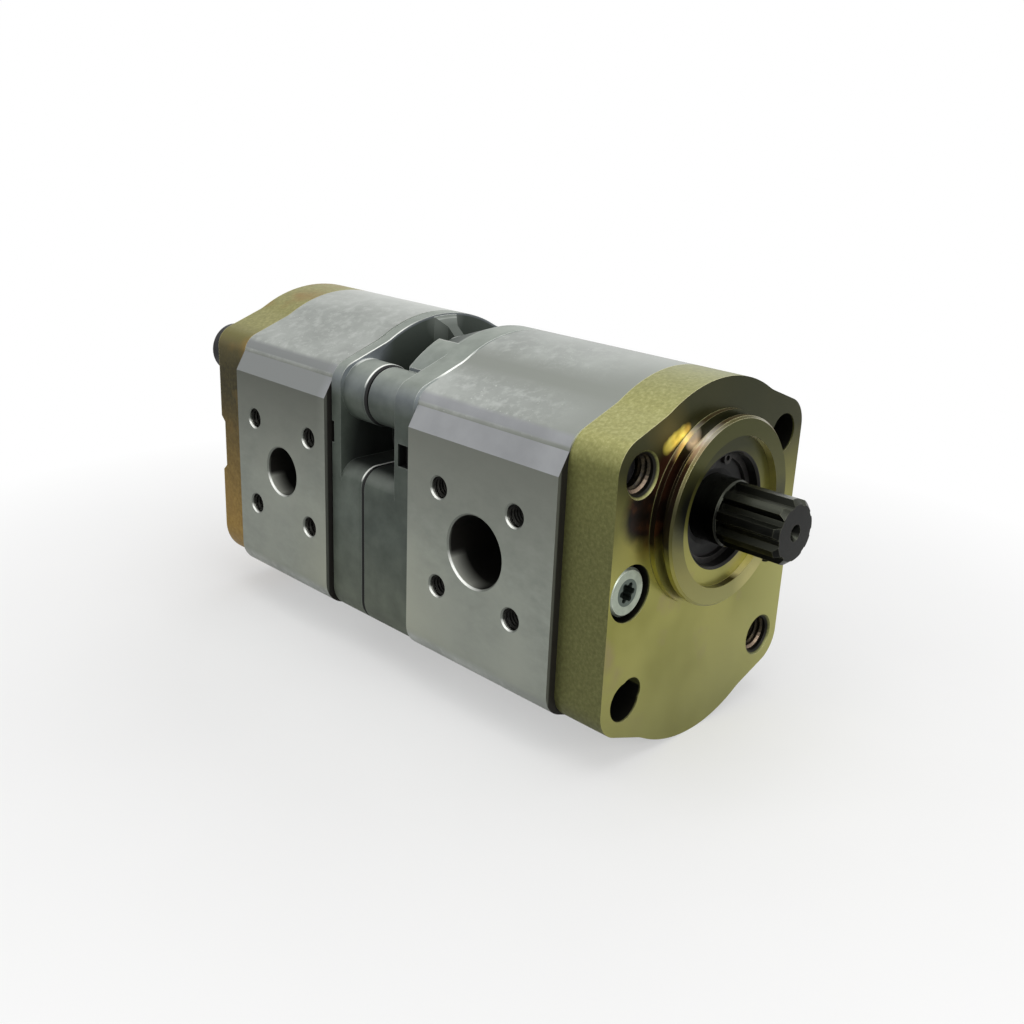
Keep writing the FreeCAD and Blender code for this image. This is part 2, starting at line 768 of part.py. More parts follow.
def cut_port(body, name, side, station, radius, spacing):
    """A port in one pad (-1 for the inlet side, 1 for the outlet side) with its four tapped holes."""
    face = "layout.pad_half_width" if side < 0 else "-layout.pad_half_width"
    forwards = side > 0
    depth = "layout.pad_half_width - layout.chamber_waist + 1"
    throat = f"{radius} - sizes.port_throat_step"
    centre = [(station, "0")]
    corners = [
        (f"{station} {across} {spacing} / 2", f"{up}{spacing} / 2")
        for across in "+-"
        for up in ("", "-")
    ]
    cut(body, f"{name}_throat", circles_at(centre, throat), face, depth, "XZ_Plane", forwards=forwards)
    cut(
        body,
        f"{name}_port",
        circles_at(centre, radius),
        face,
        "sizes.port_bore_depth",
        "XZ_Plane",
        forwards=forwards,
    )
    cut(
        body,
        f"{name}_bolt_holes",
        circles_at(corners, "sizes.port_bolt_radius"),
        face,
        "sizes.port_bolt_depth",
        "XZ_Plane",
        forwards=forwards,
    )
    plane = side * number("layout.pad_half_width")
    dress(body, "Chamfer", f"{name}_port_edge", rim(1, plane, number(radius)), "sizes.port_chamfer")
    holes = rim(1, plane, number("sizes.port_bolt_radius"))
    dress(body, "Chamfer", f"{name}_bolt_edges", holes, "sizes.port_bolt_chamfer")


def make_pump_body(label, start, length, station, inlet_radius):
    """A stage's body: the two-lobed gear chamber, port pads, ports and the clamping bolts' holes."""
    body = new_body(label)
    cast_section(body, start, length)
    extrude(body, "port_pads", draw_port_pads, start, length)
    feet = corner_edges(number("layout.pad_half_width"), -1)
    below = -number("sizes.pad_half_height")
    dress(
        body,
        "Fillet",
        "pad_feet",
        lambda edge: feet(edge) and edge.Vertexes[0].Point.z < below,
        "sizes.foot_radius",
    )
    cut(
        body,
        "gear_chamber",
        lambda sketch: draw_figure_eight(sketch, "layout.axis_height", "layout.chamber_radius"),
        start,
        length,
    )
    cut_bolt_holes(body, start, length)
    cut_port(body, "inlet", -1, station, inlet_radius, "sizes.inlet_bolt_spacing")
    cut_port(body, "outlet", 1, station, "sizes.outlet_radius", "sizes.outlet_bolt_spacing")
    cut_pin_holes(body, "front_pin_holes", start)
    cut_pin_holes(body, "rear_pin_holes", f"{start} - {length}")
    return body


def make_front_body():
    body = make_pump_body(
        "front_pump_body",
        "layout.front_body_x",
        "layout.front_body_length",
        "sizes.front_port_position",
        "sizes.front_inlet_radius",
    )
    below_head = "sizes.screw_sink + sizes.screw_head_height"
    reach = f"{below_head} + sizes.screw_length - sizes.flange_thickness + 2"
    cut(
        body,
        "screw_holes",
        circles_at(SCREW_PLACES, "sizes.screw_radius + sizes.screw_fit"),
        "layout.front_body_x",
        reach,
    )
    return body


def make_rear_body():
    return make_pump_body(
        "rear_pump_body",
        "layout.rear_body_x",
        "layout.rear_body_length",
        "sizes.rear_port_position",
        "sizes.rear_inlet_radius",
    )


def draw_crown_bands(sketch, inner, low, high):
    """Curved walls under the crown, on both sides, between two distances from the middle."""
    rise = number("sizes.crown_rise")
    sizes = [number("layout.crown_radius"), number(inner)]
    for side in (1, -1):
        starts = [math.acos(number(high) / size) for size in sizes]
        ends = [math.acos(number(low) / size) for size in sizes]
        if side < 0:
            starts, ends = [math.pi - a for a in ends], [math.pi - a for a in starts]
        arcs = [
            sketch.addGeometry(arc_between((0, rise), size, start, end))
            for size, start, end in zip(sizes, starts, ends)
        ]
        shapes = [sketch.Geometry[arc] for arc in arcs]
        edges = [
            sketch.addGeometry(Part.LineSegment(shapes[0].StartPoint, shapes[1].StartPoint)),
            sketch.addGeometry(Part.LineSegment(shapes[0].EndPoint, shapes[1].EndPoint)),
        ]
        for end, edge in zip((1, 2), edges):
            join(sketch, [(arcs[0], end, edge, 1), (arcs[1], end, edge, 2)], "Coincident")
        for arc, radius in zip(arcs, ("layout.crown_radius", inner)):
            fix_point(sketch, arc, 3, "0", "sizes.crown_rise")
            bind(sketch, "Radius", arc, formula=radius)
            near, far = (high, low) if side > 0 else (low, high)
            bind(sketch, "DistanceX", -1, 1, arc, 1, formula=signed(near, side))
            bind(sketch, "DistanceX", -1, 1, arc, 2, formula=signed(far, side))


def draw_shoulder(sketch, side):
    """What a rounded shoulder of the waist's lower block leaves away, on one side."""
    size = number("sizes.lower_block_shoulder")
    across = side * (number("layout.waist_half_width") - size)
    up = number("sizes.lower_block_top") - size
    begin = 0 if side > 0 else math.pi / 2
    arc = sketch.addGeometry(arc_between((across, up), size, begin, begin + math.pi / 2))
    low, high = (1, 2) if side > 0 else (2, 1)
    outside = side * (number("layout.waist_half_width") + 1)
    corners = [
        sketch.getPoint(arc, high),
        FreeCAD.Vector(outside, up + size, 0),
        FreeCAD.Vector(outside, up, 0),
        sketch.getPoint(arc, low),
    ]
    lines = [sketch.addGeometry(Part.LineSegment(*corners[i : i + 2])) for i in range(3)]
    pairs = [(arc, high, lines[0], 1), (lines[0], 2, lines[1], 1), (lines[1], 2, lines[2], 1)]
    join(sketch, pairs + [(lines[2], 2, arc, low)], "Coincident")
    for line, kind in zip(lines, ("Horizontal", "Vertical", "Horizontal")):
        sketch.addConstraint(Sketcher.Constraint(kind, line))
    sketch.addConstraint(Sketcher.Constraint("Vertical", arc, 3, arc, high))
    sketch.addConstraint(Sketcher.Constraint("Horizontal", arc, 3, arc, low))
    inner = "(layout.waist_half_width - sizes.lower_block_shoulder)"
    fix_point(sketch, arc, 3, signed(inner, side), "sizes.lower_block_top - sizes.lower_block_shoulder")
    bind(sketch, "Radius", arc, formula="sizes.lower_block_shoulder")
    beyond = signed("(layout.waist_half_width + 1)", side)
    bind(sketch, "DistanceX", -1, 1, lines[1], 1, formula=beyond)


def lighten_waist(body, start, length, boss_radius):
    """Opens a cover beyond its plate, leaving the lower block, a hub and the bolt bosses."""
    above = "layout.crown_top + 1"
    beyond = "layout.waist_half_width + 1"
    cut(
        body,
        "upper_window",
        lambda sketch: draw_rectangle(sketch, f"-({beyond})", "sizes.lower_block_top", beyond, above),
        start,
        length,
    )
    cut(
        body,
        "block_shoulders",
        lambda sketch: [draw_shoulder(sketch, side) for side in (1, -1)],
        start,
        length,
    )
    tops = [(across, "layout.hole_offset") for across in ("layout.hole_offset", "-layout.hole_offset")]
    extrude(body, "bolt_bosses", circles_at(tops, boss_radius), start, length)
    extrude(body, "shaft_hub", circles_at(GEAR_PLACES[:1], "sizes.hub_radius"), start, length)


def add_crown_tongue(body, outline):
    """A tongue under the crown: a plan outline of (station, half width), dished along the shaft.

    Its top falls as a cone round the crown's axis and rises again to the rear plate's edge.
    """
    corners = outline + [(station, f"-({half})") for station, half in reversed(outline)]
    extrude(
        body,
        "tongue",
        lambda sketch: draw_polygon(sketch, corners),
        "layout.crown_top",
        "layout.crown_top - sizes.tongue_bottom",
        "XY_Plane",
    )
    turn(
        body,
        "tongue_dish",
        [
            ("layout.end_plate_x", "layout.crown_radius"),
            ("layout.ramp_end_x", "layout.crown_radius - sizes.ramp_drop"),
            ("layout.middle_plate_x", "layout.crown_radius - sizes.web_top_gap"),
            ("layout.middle_plate_x", "layout.crown_radius + sizes.crown_wall"),
            ("layout.end_plate_x", "layout.crown_radius + sizes.crown_wall"),
        ],
        "sizes.crown_rise",
        remove=True,
        angle="sizes.ramp_angle",
    )


def cut_side_notches(body, start, length):
    """Small lever notches in both side edges, beside a joint."""
    inner = "layout.waist_half_width - sizes.notch_depth"
    outer = "layout.waist_half_width + 1"

    def draw(sketch):
        draw_rectangle(sketch, inner, "sizes.notch_low", outer, "sizes.notch_high")
        draw_rectangle(sketch, f"-({outer})", "sizes.notch_low", f"-({inner})", "sizes.notch_high")

    cut(body, "side_notches", draw, start, length)


def make_end_cover():
    """Closes the front stage and carries the coupling; lightened behind its plate."""
    body = new_body("front_stage_end_cover")
    start = "layout.end_cover_x"
    behind = "sizes.end_cover_length - sizes.end_cover_plate"
    cast_section(body, start, "sizes.end_cover_length", "layout.waist_half_width")
    lighten_waist(body, "layout.end_plate_x", behind, "sizes.end_boss_radius")
    tongue = [
        ("layout.end_plate_x", "sizes.tongue_half_width"),
        ("layout.end_plate_x - sizes.tongue_straight", "sizes.tongue_half_width"),
        ("layout.middle_cover_x", "sizes.tongue_joint_half_width"),
    ]
    add_crown_tongue(body, tongue)
    extrude(
        body,
        "crown_sides",
        lambda sketch: draw_crown_bands(
            sketch, "layout.crown_inner_radius", "layout.crown_side_start", "sizes.crown_side_end"
        ),
        "layout.end_plate_x",
        "sizes.crown_side_length",
    )
    joints = joint_edges(number(start), number("layout.middle_cover_x"))
    dress(body, "Chamfer", "joint_edges", joints, "sizes.cover_chamfer")
    cut(
        body,
        "shaft_hole",
        circles_at(GEAR_PLACES[:1], "sizes.shaft_hole_radius"),
        start,
        "sizes.end_cover_length",
    )
    cut(
        body,
        "coupling_bore",
        circles_at(GEAR_PLACES[:1], "sizes.coupling_bore_radius"),
        "layout.end_cover_x - sizes.coupling_wall",
        "sizes.end_cover_length",
    )
    cut(
        body,
        "spigot_seat",
        circles_at(GEAR_PLACES[:1], "sizes.spigot_radius + sizes.spigot_fit"),
        "layout.middle_cover_x + sizes.spigot_length + sizes.spigot_end_gap",
        "sizes.spigot_length + sizes.spigot_end_gap",
    )
    cut_bolt_holes(body, start, "sizes.end_cover_length")
    cut_side_notches(body, start, "sizes.end_notch_length")
    cut_seal_groove(body, "seal_groove", start)
    cut_pin_holes(body, "pin_holes", start)
    return body


def make_middle_cover():
    """Closes the rear stage's front and carries the seal that parts the two stages."""
    body = new_body("rear_stage_front_cover")
    start = "layout.middle_cover_x"
    length = "sizes.middle_cover_length"
    ahead = "sizes.middle_cover_length - sizes.middle_cover_plate"
    cast_section(body, start, length, "layout.waist_half_width")
    lighten_waist(body, start, ahead, "sizes.middle_boss_radius")
    web = [
        (start, "sizes.tongue_joint_half_width"),
        ("layout.ramp_end_x", "sizes.web_half_width"),
        ("layout.middle_plate_x + sizes.web_flare_length", "sizes.web_half_width"),
        ("layout.middle_plate_x", "sizes.web_half_width + sizes.web_flare"),
    ]
    add_crown_tongue(body, web)
    joints = joint_edges(number(start), number("layout.rear_body_x"))
    dress(body, "Chamfer", "joint_edges", joints, "sizes.cover_chamfer")
    extrude(
        body,
        "spigot",
        circles_at(GEAR_PLACES[:1], "sizes.spigot_radius"),
        f"{start} + sizes.spigot_length",
        "sizes.spigot_length",
    )
    cut(
        body,
        "shaft_hole",
        circles_at(GEAR_PLACES[:1], "sizes.shaft_hole_radius"),
        f"{start} + sizes.spigot_length",
        f"{length} + sizes.spigot_length",
    )
    cut(
        body,
        "seal_bore",
        circles_at(GEAR_PLACES[:1], "sizes.coupling_bore_radius"),
        f"{start} + sizes.spigot_length",
        f"{length} + sizes.spigot_length - sizes.coupling_wall",
    )

    def draw_ring_groove(sketch):
        for radius in ("sizes.stage_ring_radius + sizes.seal_gap", "sizes.spigot_radius"):
            draw_circle(sketch, "0", "layout.axis_height", radius)

    cut(body, "stage_ring_groove", draw_ring_groove, start, "sizes.stage_ring_depth")
    cut_bolt_holes(body, start, length)
    cut_side_notches(
        body, "layout.rear_body_x + sizes.middle_notch_length", "sizes.middle_notch_length"
    )
    cut_seal_groove(body, "seal_groove", "layout.rear_body_x + sizes.seal_depth")
    cut_pin_holes(body, "pin_holes", "layout.rear_body_x")
    return body


def make_rear_cover():
    """Closes the pump behind the rear stage and takes the bolt heads."""
    body = new_body("rear_cover")
    start = "layout.rear_cover_x"
    length = "sizes.rear_cover_thickness"
    cast_section(body, start, length, foot_radius="sizes.rear_foot_radius")
    depth_x = "layout.rear_x + sizes.rear_recess_depth"
    foot = "sizes.rear_recess_half + sizes.rear_recess_slope"
    cut(
        body,
        "rear_recess",
        lambda sketch: draw_polygon(
            sketch,
            [
                ("layout.rear_x", f"-({foot})"),
                (depth_x, "-sizes.rear_recess_half"),
                (depth_x, "sizes.rear_recess_half"),
                ("layout.rear_x", foot),
            ],
        ),
        "0",
        "2 * layout.half_width + 2",
        "XZ_Plane",
        both=True,
    )
    cut_bolt_holes(body, start, length)
    cut_seal_groove(body, "seal_groove", start)
    cut_pin_holes(body, "pin_holes", start)
    return body


def make_face_seal(label, groove_end, opens_forwards):
    """A seal round the gear chamber, resting on its groove's bottom."""
    body = new_body(label)
    thickness = "sizes.seal_depth - sizes.seal_gap"
    bottom = f"{groove_end} - sizes.seal_depth"
    start = f"{bottom} + {thickness}" if opens_forwards else f"{groove_end} + sizes.seal_depth"
    extrude(
        body,
        "ring",
        lambda sketch: draw_seal(sketch, "layout.seal_inner_radius", "layout.seal_outer_radius"),
        start,
        thickness,
    )
    return body


def make_block(label, start, faces_front):
    """A floating bearing block: two bored lobes, reliefs beside the mesh and a seal groove behind."""
    body = new_body(label)
    back = f"{start} - sizes.block_length"
    extrude(
        body,
        "lobes",
        lambda sketch: draw_figure_eight(sketch, "layout.axis_height", "layout.block_radius"),
        start,
        "sizes.block_length",
    )
    cut(body, "bush_seats", circles_at(GEAR_PLACES, "layout.bush_seat_radius"), start, "sizes.block_length")
    groove = start if faces_front else f"{back} + sizes.block_seal_depth"
    cut(
        body,
        "seal_groove",
        lambda sketch: draw_block_seal(sketch, "layout.block_groove_radius", "sizes.seal_gap"),
        groove,
        "sizes.block_seal_depth",
    )
    relief = f"{back} + sizes.relief_depth" if faces_front else start

    def draw_reliefs(sketch):
        for sign in (1, -1):
            draw_rectangle(
                sketch,
                signed("sizes.relief_reach", sign),
                "-sizes.relief_width / 2",
                signed("layout.chamber_radius", sign),
                "sizes.relief_width / 2",
            )

    cut(body, "reliefs", draw_reliefs, relief, "sizes.relief_depth")
    return body


def draw_block_seal(sketch, outer="sizes.block_seal_radius", gap="0"):
    draw_figure_eight(sketch, "layout.axis_height", outer)
    for across, up in GEAR_PLACES:
        draw_circle(sketch, across, up, f"sizes.block_seal_radius - sizes.block_seal_width - {gap}")


def make_block_seal(label, start, faces_front):
    body = new_body(label)
    thickness = "sizes.block_seal_depth + sizes.block_end_gap - sizes.seal_gap"
    back = f"{start} - sizes.block_length"
    if faces_front:
        front = f"{start} - sizes.block_seal_depth + {thickness}"
    else:
        front = f"{back} + sizes.block_seal_depth"
    extrude(body, "ring", draw_block_seal, front, thickness)
    return body


def make_bushes(label, starts):
    """The lined bushes of one stage, two in each bearing block."""
    body = new_body(label)

    def draw(sketch):
        for across, up in GEAR_PLACES:
            draw_circle(sketch, across, up, "layout.bush_seat_radius")
            draw_circle(sketch, across, up, "layout.bush_radius")

    for index, start in enumerate(starts):
        extrude(
            body,
            f"bush_pair_{index}",
            draw,
            f"{start} - sizes.bush_recess",
            "sizes.block_length - 2 * sizes.bush_recess",
        )
    return body


def draw_tooth(sketch, root, flank, tip, turn):
    """One tooth about an angle: points are (radius, half angle) pairs, the flank an arc or a line."""

    def at(radius, angle):
        return FreeCAD.Vector(radius * math.cos(turn + angle), radius * math.sin(turn + angle), 0)

    def side(sign):
        curve = [at(radius, sign * angle) for radius, angle in flank]
        pieces = [Part.LineSegment(at(root[0], sign * root[1]), curve[0])]
        pieces.append(Part.Arc(*curve) if len(curve) == 3 else Part.LineSegment(*curve))
        return pieces

    top = Part.Arc(at(tip, flank[-1][1]), at(tip, 0), at(tip, -flank[-1][1]))
    base = Part.LineSegment(at(root[0], -root[1]), at(root[0], root[1]))
    for piece in (*side(1), top, *side(-1), base):
        sketch.addGeometry(piece)


def involute_tooth():
    """The gear tooth's root point and its flank as three points of the involute."""
    pitch = number("layout.axis_height")
    angle = math.radians(number("sizes.pressure_angle"))
    base = pitch * math.cos(angle)
    root = number("sizes.root_radius")
    tip = number("sizes.tip_radius")
    thickness = math.pi * pitch / number("sizes.teeth") - number("sizes.backlash") / 2
    at_base = thickness / 2 / pitch + math.tan(angle) - angle

    def half_angle(radius):
        roll = math.acos(min(1.0, base / radius))
        return at_base - math.tan(roll) + roll

    flank = [(radius, half_angle(radius)) for radius in (base, (base + tip) / 2, tip)]
    return (root - 1, at_base), flank, tip


def add_teeth(body, start, length, turn):
    tooth = involute_tooth()
    pad = extrude(body, "tooth", lambda sketch: draw_tooth(sketch, *tooth, turn), start, length)
    repeat(body, "gear_teeth", pad, "sizes.teeth")


def spline_tooth(fit=0.0):
    """A straight-sided spline tooth, grown all round by a fit."""
    root = number("sizes.spline_root_radius") - 0.5
    tip = number("sizes.spline_outer_radius") + fit
    root_half = number("sizes.spline_tooth_root_half") + fit
    tip_half = number("sizes.spline_tooth_tip_half") + fit
    foot = number("sizes.spline_root_radius")
    flank = [(foot, math.asin(root_half / foot)), (tip, math.asin(tip_half / tip))]
    return (root, math.asin(root_half / root)), flank, tip


def add_spline(body, name, start, length):
    turn = math.radians(number("sizes.spline_turn")) + math.pi / 2
    tooth = spline_tooth()
    pad = extrude(body, f"{name}_tooth", lambda sketch: draw_tooth(sketch, *tooth, turn), start, length)
    repeat(body, name, pad, "sizes.spline_teeth")


def bevel_spline_end(body, name, end, sign):
    """Cuts the teeth back to a cone at the shaft's end."""
    outer = "sizes.spline_outer_radius"
    turn(
        body,
        name,
        [
            (end, f"{outer} - sizes.spline_chamfer"),
            (f"{end} {'-' if sign > 0 else '+'} sizes.spline_chamfer", outer),
            (f"{end} {'-' if sign > 0 else '+'} sizes.spline_chamfer", f"{outer} + 1"),
            (f"{end} {'+' if sign > 0 else '-'} 1", f"{outer} + 1"),
            (f"{end} {'+' if sign > 0 else '-'} 1", f"{outer} - sizes.spline_chamfer"),
        ],
        remove=True,
    )


def make_front_drive_gear():
    """Gear and splined drive shaft in one piece, with a splined tail for the coupling."""
    body = new_body("front_drive_gear", "layout.axis_height")
    gear_end = "layout.front_gear_x - sizes.front_gear_width"
    shoulder = "layout.seal_bore_x - 2 * sizes.shaft_chamfer"
    tail = "layout.end_cover_x - sizes.coupling_wall"
    tail_end = "layout.coupling_middle_x + sizes.shaft_end_space / 2"
    turn(
        body,
        "shaft",
        [
            ("sizes.shaft_reach", "0"),
            ("sizes.shaft_reach", "sizes.spline_root_radius"),
            ("sizes.spline_start", "sizes.spline_root_radius"),
            ("sizes.spline_start", "sizes.neck_radius - sizes.shaft_chamfer"),
            ("sizes.spline_start - sizes.shaft_chamfer", "sizes.neck_radius"),
            (shoulder, "sizes.neck_radius"),
            (f"{shoulder} - sizes.shaft_chamfer", "sizes.journal_radius"),
            ("layout.front_gear_x", "sizes.journal_radius"),
            ("layout.front_gear_x", "sizes.root_radius"),
            (gear_end, "sizes.root_radius"),
            (gear_end, "sizes.journal_radius"),
            ("layout.end_cover_x", "sizes.journal_radius"),
            ("layout.end_cover_x - sizes.shaft_chamfer", "sizes.neck_radius"),
            (tail, "sizes.neck_radius"),
            (tail, "sizes.spline_root_radius"),
            (tail_end, "sizes.spline_root_radius"),
            (tail_end, "0"),
        ],
    )
    add_teeth(body, "layout.front_gear_x", "sizes.front_gear_width", -math.pi / 2)
    add_spline(body, "drive_spline", "sizes.shaft_reach", "sizes.shaft_reach - sizes.spline_start")
    add_spline(body, "tail_spline", tail, f"{tail} - ({tail_end})")
    bevel_spline_end(body, "drive_end", "sizes.shaft_reach", 1)
    bevel_spline_end(body, "tail_bevel", tail_end, -1)
    turn(
        body,
        "centre_hole",
        [
            ("sizes.shaft_reach", "0"),
            ("sizes.shaft_reach", "sizes.centre_hole_radius"),
            ("sizes.shaft_reach - sizes.centre_hole_radius", "sizes.centre_hole_radius / 2"),
            ("sizes.shaft_reach - sizes.centre_hole_depth", "sizes.centre_hole_radius / 2"),
            ("sizes.shaft_reach - sizes.centre_hole_depth - sizes.centre_hole_radius / 4", "0"),
        ],
        remove=True,
    )
    return body


def make_rear_drive_gear():
    """The rear stage's drive gear, driven through its splined nose."""
    body = new_body("rear_drive_gear", "layout.axis_height")
    gear_end = "layout.rear_gear_x - sizes.rear_gear_width"
    nose = "layout.coupling_middle_x - sizes.shaft_end_space / 2"
    neck = "layout.coupling_end_x - sizes.shaft_chamfer"
    end = "layout.rear_cover_x + sizes.bush_recess"
    turn(
        body,
        "shaft",
        [
            (nose, "0"),
            (nose, "sizes.spline_root_radius"),
            (neck, "sizes.spline_root_radius"),
            (neck, "sizes.neck_radius - sizes.shaft_chamfer"),
            (f"{neck} - sizes.shaft_chamfer", "sizes.neck_radius"),
            ("layout.rear_body_x + sizes.shaft_chamfer", "sizes.neck_radius"),
            ("layout.rear_body_x", "sizes.journal_radius"),
            ("layout.rear_gear_x", "sizes.journal_radius"),
            ("layout.rear_gear_x", "sizes.root_radius"),
            (gear_end, "sizes.root_radius"),
            (gear_end, "sizes.journal_radius"),
            (f"{end} + sizes.shaft_chamfer", "sizes.journal_radius"),
            (end, "sizes.journal_radius - sizes.shaft_chamfer"),
            (end, "0"),
        ],
    )
    add_teeth(body, "layout.rear_gear_x", "sizes.rear_gear_width", -math.pi / 2)
    add_spline(body, "nose_spline", nose, f"{nose} - ({neck})")
    bevel_spline_end(body, "nose_bevel", nose, 1)
    return body


def make_idler_gear(label, front, gear_start, width, rear):
    """A driven gear with a journal on each side, turned half a tooth to mesh."""
    body = new_body(label, "-layout.axis_height")
    first = f"{front} - sizes.bush_recess"
    last = f"{rear} + sizes.bush_recess"
    gear_end = f"{gear_start} - {width}"
    turn(
        body,
        "shaft",
        [
            (first, "0"),
            (first, "sizes.journal_radius - sizes.shaft_chamfer"),
            (f"{first} - sizes.shaft_chamfer", "sizes.journal_radius"),
            (gear_start, "sizes.journal_radius"),
            (gear_start, "sizes.root_radius"),
            (gear_end, "sizes.root_radius"),
            (gear_end, "sizes.journal_radius"),
            (f"{last} + sizes.shaft_chamfer", "sizes.journal_radius"),
            (last, "sizes.journal_radius - sizes.shaft_chamfer"),
            (last, "0"),
        ],
    )
    add_teeth(body, gear_start, width, math.pi / 2 + math.pi / number("sizes.teeth"))
    return body


def make_coupling():
    """The sleeve that joins the two splined shaft ends."""
    body = new_body("shaft_coupling", "layout.axis_height")
    length = "layout.coupling_x - layout.coupling_end_x"

    def draw(sketch):
        draw_circle(sketch, "0", "0", "sizes.coupling_radius")
        draw_circle(sketch, "0", "0", "sizes.spline_root_radius + sizes.spline_fit")

    extrude(body, "sleeve", draw, "layout.coupling_x", length)
    outer = number("sizes.coupling_radius")
    dress(
        body,
        "Chamfer",
        "sleeve_edges",
        lambda edge: isinstance(edge.Curve, Part.Circle) and abs(edge.Curve.Radius - outer) < 1e-4,
        "sizes.coupling_chamfer",
    )
    tooth = spline_tooth(number("sizes.spline_fit"))
    angle = math.radians(number("sizes.spline_turn")) + math.pi / 2
    slot = cut(
        body, "slot", lambda sketch: draw_tooth(sketch, *tooth, angle), "layout.coupling_x", length
    )
    repeat(body, "slots", slot, "sizes.spline_teeth")
    return body


def make_stage_seal():
    """The lip seal between the stages."""
    body = new_body("stage_shaft_seal", "layout.axis_height")
    outside = "sizes.coupling_bore_radius - sizes.seal_fit"
    lip = "sizes.neck_radius + sizes.lip_clearance"
    front = "layout.stage_seal_x"
    back = "layout.stage_seal_x - sizes.stage_seal_width"
    turn(
        body,
        "ring",
        [
            (back, outside),
            (front, outside),
            (front, f"{outside} - sizes.shaft_seal_lip"),
            (f"{back} + sizes.shaft_seal_web", f"{outside} - sizes.shaft_seal_lip"),
            (f"{back} + sizes.shaft_seal_web", f"{lip} + sizes.shaft_seal_lip"),
            (f"{front} - sizes.shaft_seal_lip", f"{lip} + sizes.shaft_seal_lip"),
            (f"{front} - sizes.shaft_seal_lip", lip),
            (back, lip),
        ],
    )
    return body


def make_stage_ring():
    """The ring that seals the joint between the two waist covers, round the spigot."""
    body = new_body("stage_joint_seal", "layout.axis_height")

    def draw(sketch):
        draw_circle(sketch, "0", "0", "sizes.stage_ring_radius")
        draw_circle(sketch, "0", "0", "sizes.spigot_radius + sizes.spigot_fit")

    thickness = "sizes.stage_ring_depth - sizes.seal_gap"
    extrude(body, "ring", draw, "layout.middle_cover_x - sizes.seal_gap", thickness)
    return body


def make_bolts():
    """The two long bolts that clamp the pump: tapped into the flange, heads on the rear cover."""
    body = new_body("tie_bolts")
    head_end = "layout.rear_x - sizes.bolt_head_height"
    extrude(
        body,
        "shanks",
        circles_at(TIE_CORNERS, "sizes.bolt_radius"),
        "sizes.bolt_end",
        "sizes.bolt_end - layout.rear_x",
    )
    tip = rim(0, number("sizes.bolt_end"), number("sizes.bolt_radius"))
    dress(body, "Chamfer", "tips", tip, "sizes.bolt_head_chamfer")
    extrude(
        body,
        "heads",
        circles_at(TIE_CORNERS, "sizes.bolt_head_radius"),
        "layout.rear_x",
        "sizes.bolt_head_height",
    )
    end = number("layout.rear_x") - number("sizes.bolt_head_height")
    head = rim(0, end, number("sizes.bolt_head_radius"))
    dress(body, "Chamfer", "head_edges", head, "sizes.bolt_head_chamfer")

    def draw_sockets(sketch):
        for across, up in TIE_CORNERS:
            corners = [
                (
                    f"{across} + sizes.bolt_socket_width / sqrt(3) * cos({60 * step})",
                    f"{up} + sizes.bolt_socket_width / sqrt(3) * sin({60 * step})",
                )
                for step in range(6)
            ]
            draw_polygon(sketch, corners)

    cut(
        body,
        "sockets",
        draw_sockets,
        f"{head_end} + sizes.bolt_socket_depth",
        "sizes.bolt_socket_depth",
    )
    return body


def make_screws():
    """The two short screws that hold the flange on the front body, with six-lobed sockets."""
    body = new_body("flange_screws")
    top = "-sizes.screw_sink"
    under = "-sizes.screw_sink - sizes.screw_head_height"
    extrude(
        body,
        "heads",
        circles_at(SCREW_PLACES, "sizes.screw_head_radius"),
        top,
        "sizes.screw_head_height",
    )
    head = rim(0, -number("sizes.screw_sink"), number("sizes.screw_head_radius"))
    dress(body, "Chamfer", "head_edges", head, "sizes.screw_head_chamfer")
    extrude(body, "shanks", circles_at(SCREW_PLACES, "sizes.screw_radius"), under, "sizes.screw_length")
    inner = "(sizes.screw_socket_radius - sizes.screw_socket_lobe)"
    lobes = [
        (f"{across} + {inner} * cos({60 * step})", f"{up} + {inner} * sin({60 * step})")
        for across, up in SCREW_PLACES
        for step in range(6)
    ]
    depth = "sizes.screw_socket_depth"
    cut(body, "sockets", circles_at(SCREW_PLACES, inner), top, depth)
    cut(body, "socket_lobes", circles_at(lobes, "sizes.screw_socket_lobe"), top, depth)
    return body


def make_pins():
    """The locating pins, two at each joint between a cover and a body."""
    body = new_body("locating_pins")
    joints = ["layout.front_body_x", "layout.end_cover_x", "layout.rear_body_x", "layout.rear_cover_x"]
    for index, joint in enumerate(joints):
        extrude(
            body,
            f"pin_pair_{index}",
            circles_at(PIN_PLACES, "sizes.pin_radius"),
            f"{joint} + sizes.pin_half_length",
            "2 * sizes.pin_half_length",
        )
    return body


BLOCK_STARTS = {
    "front_stage_front_block": ("layout.front_body_x - sizes.block_end_gap", True),
    "front_stage_rear_block": (
        "layout.end_cover_x + sizes.block_end_gap + sizes.block_length",
        False,
    ),
    "rear_stage_front_block": ("layout.rear_body_x - sizes.block_end_gap", True),
    "rear_stage_rear_block": (
        "layout.rear_cover_x + sizes.block_end_gap + sizes.block_length",
        False,
    ),
}

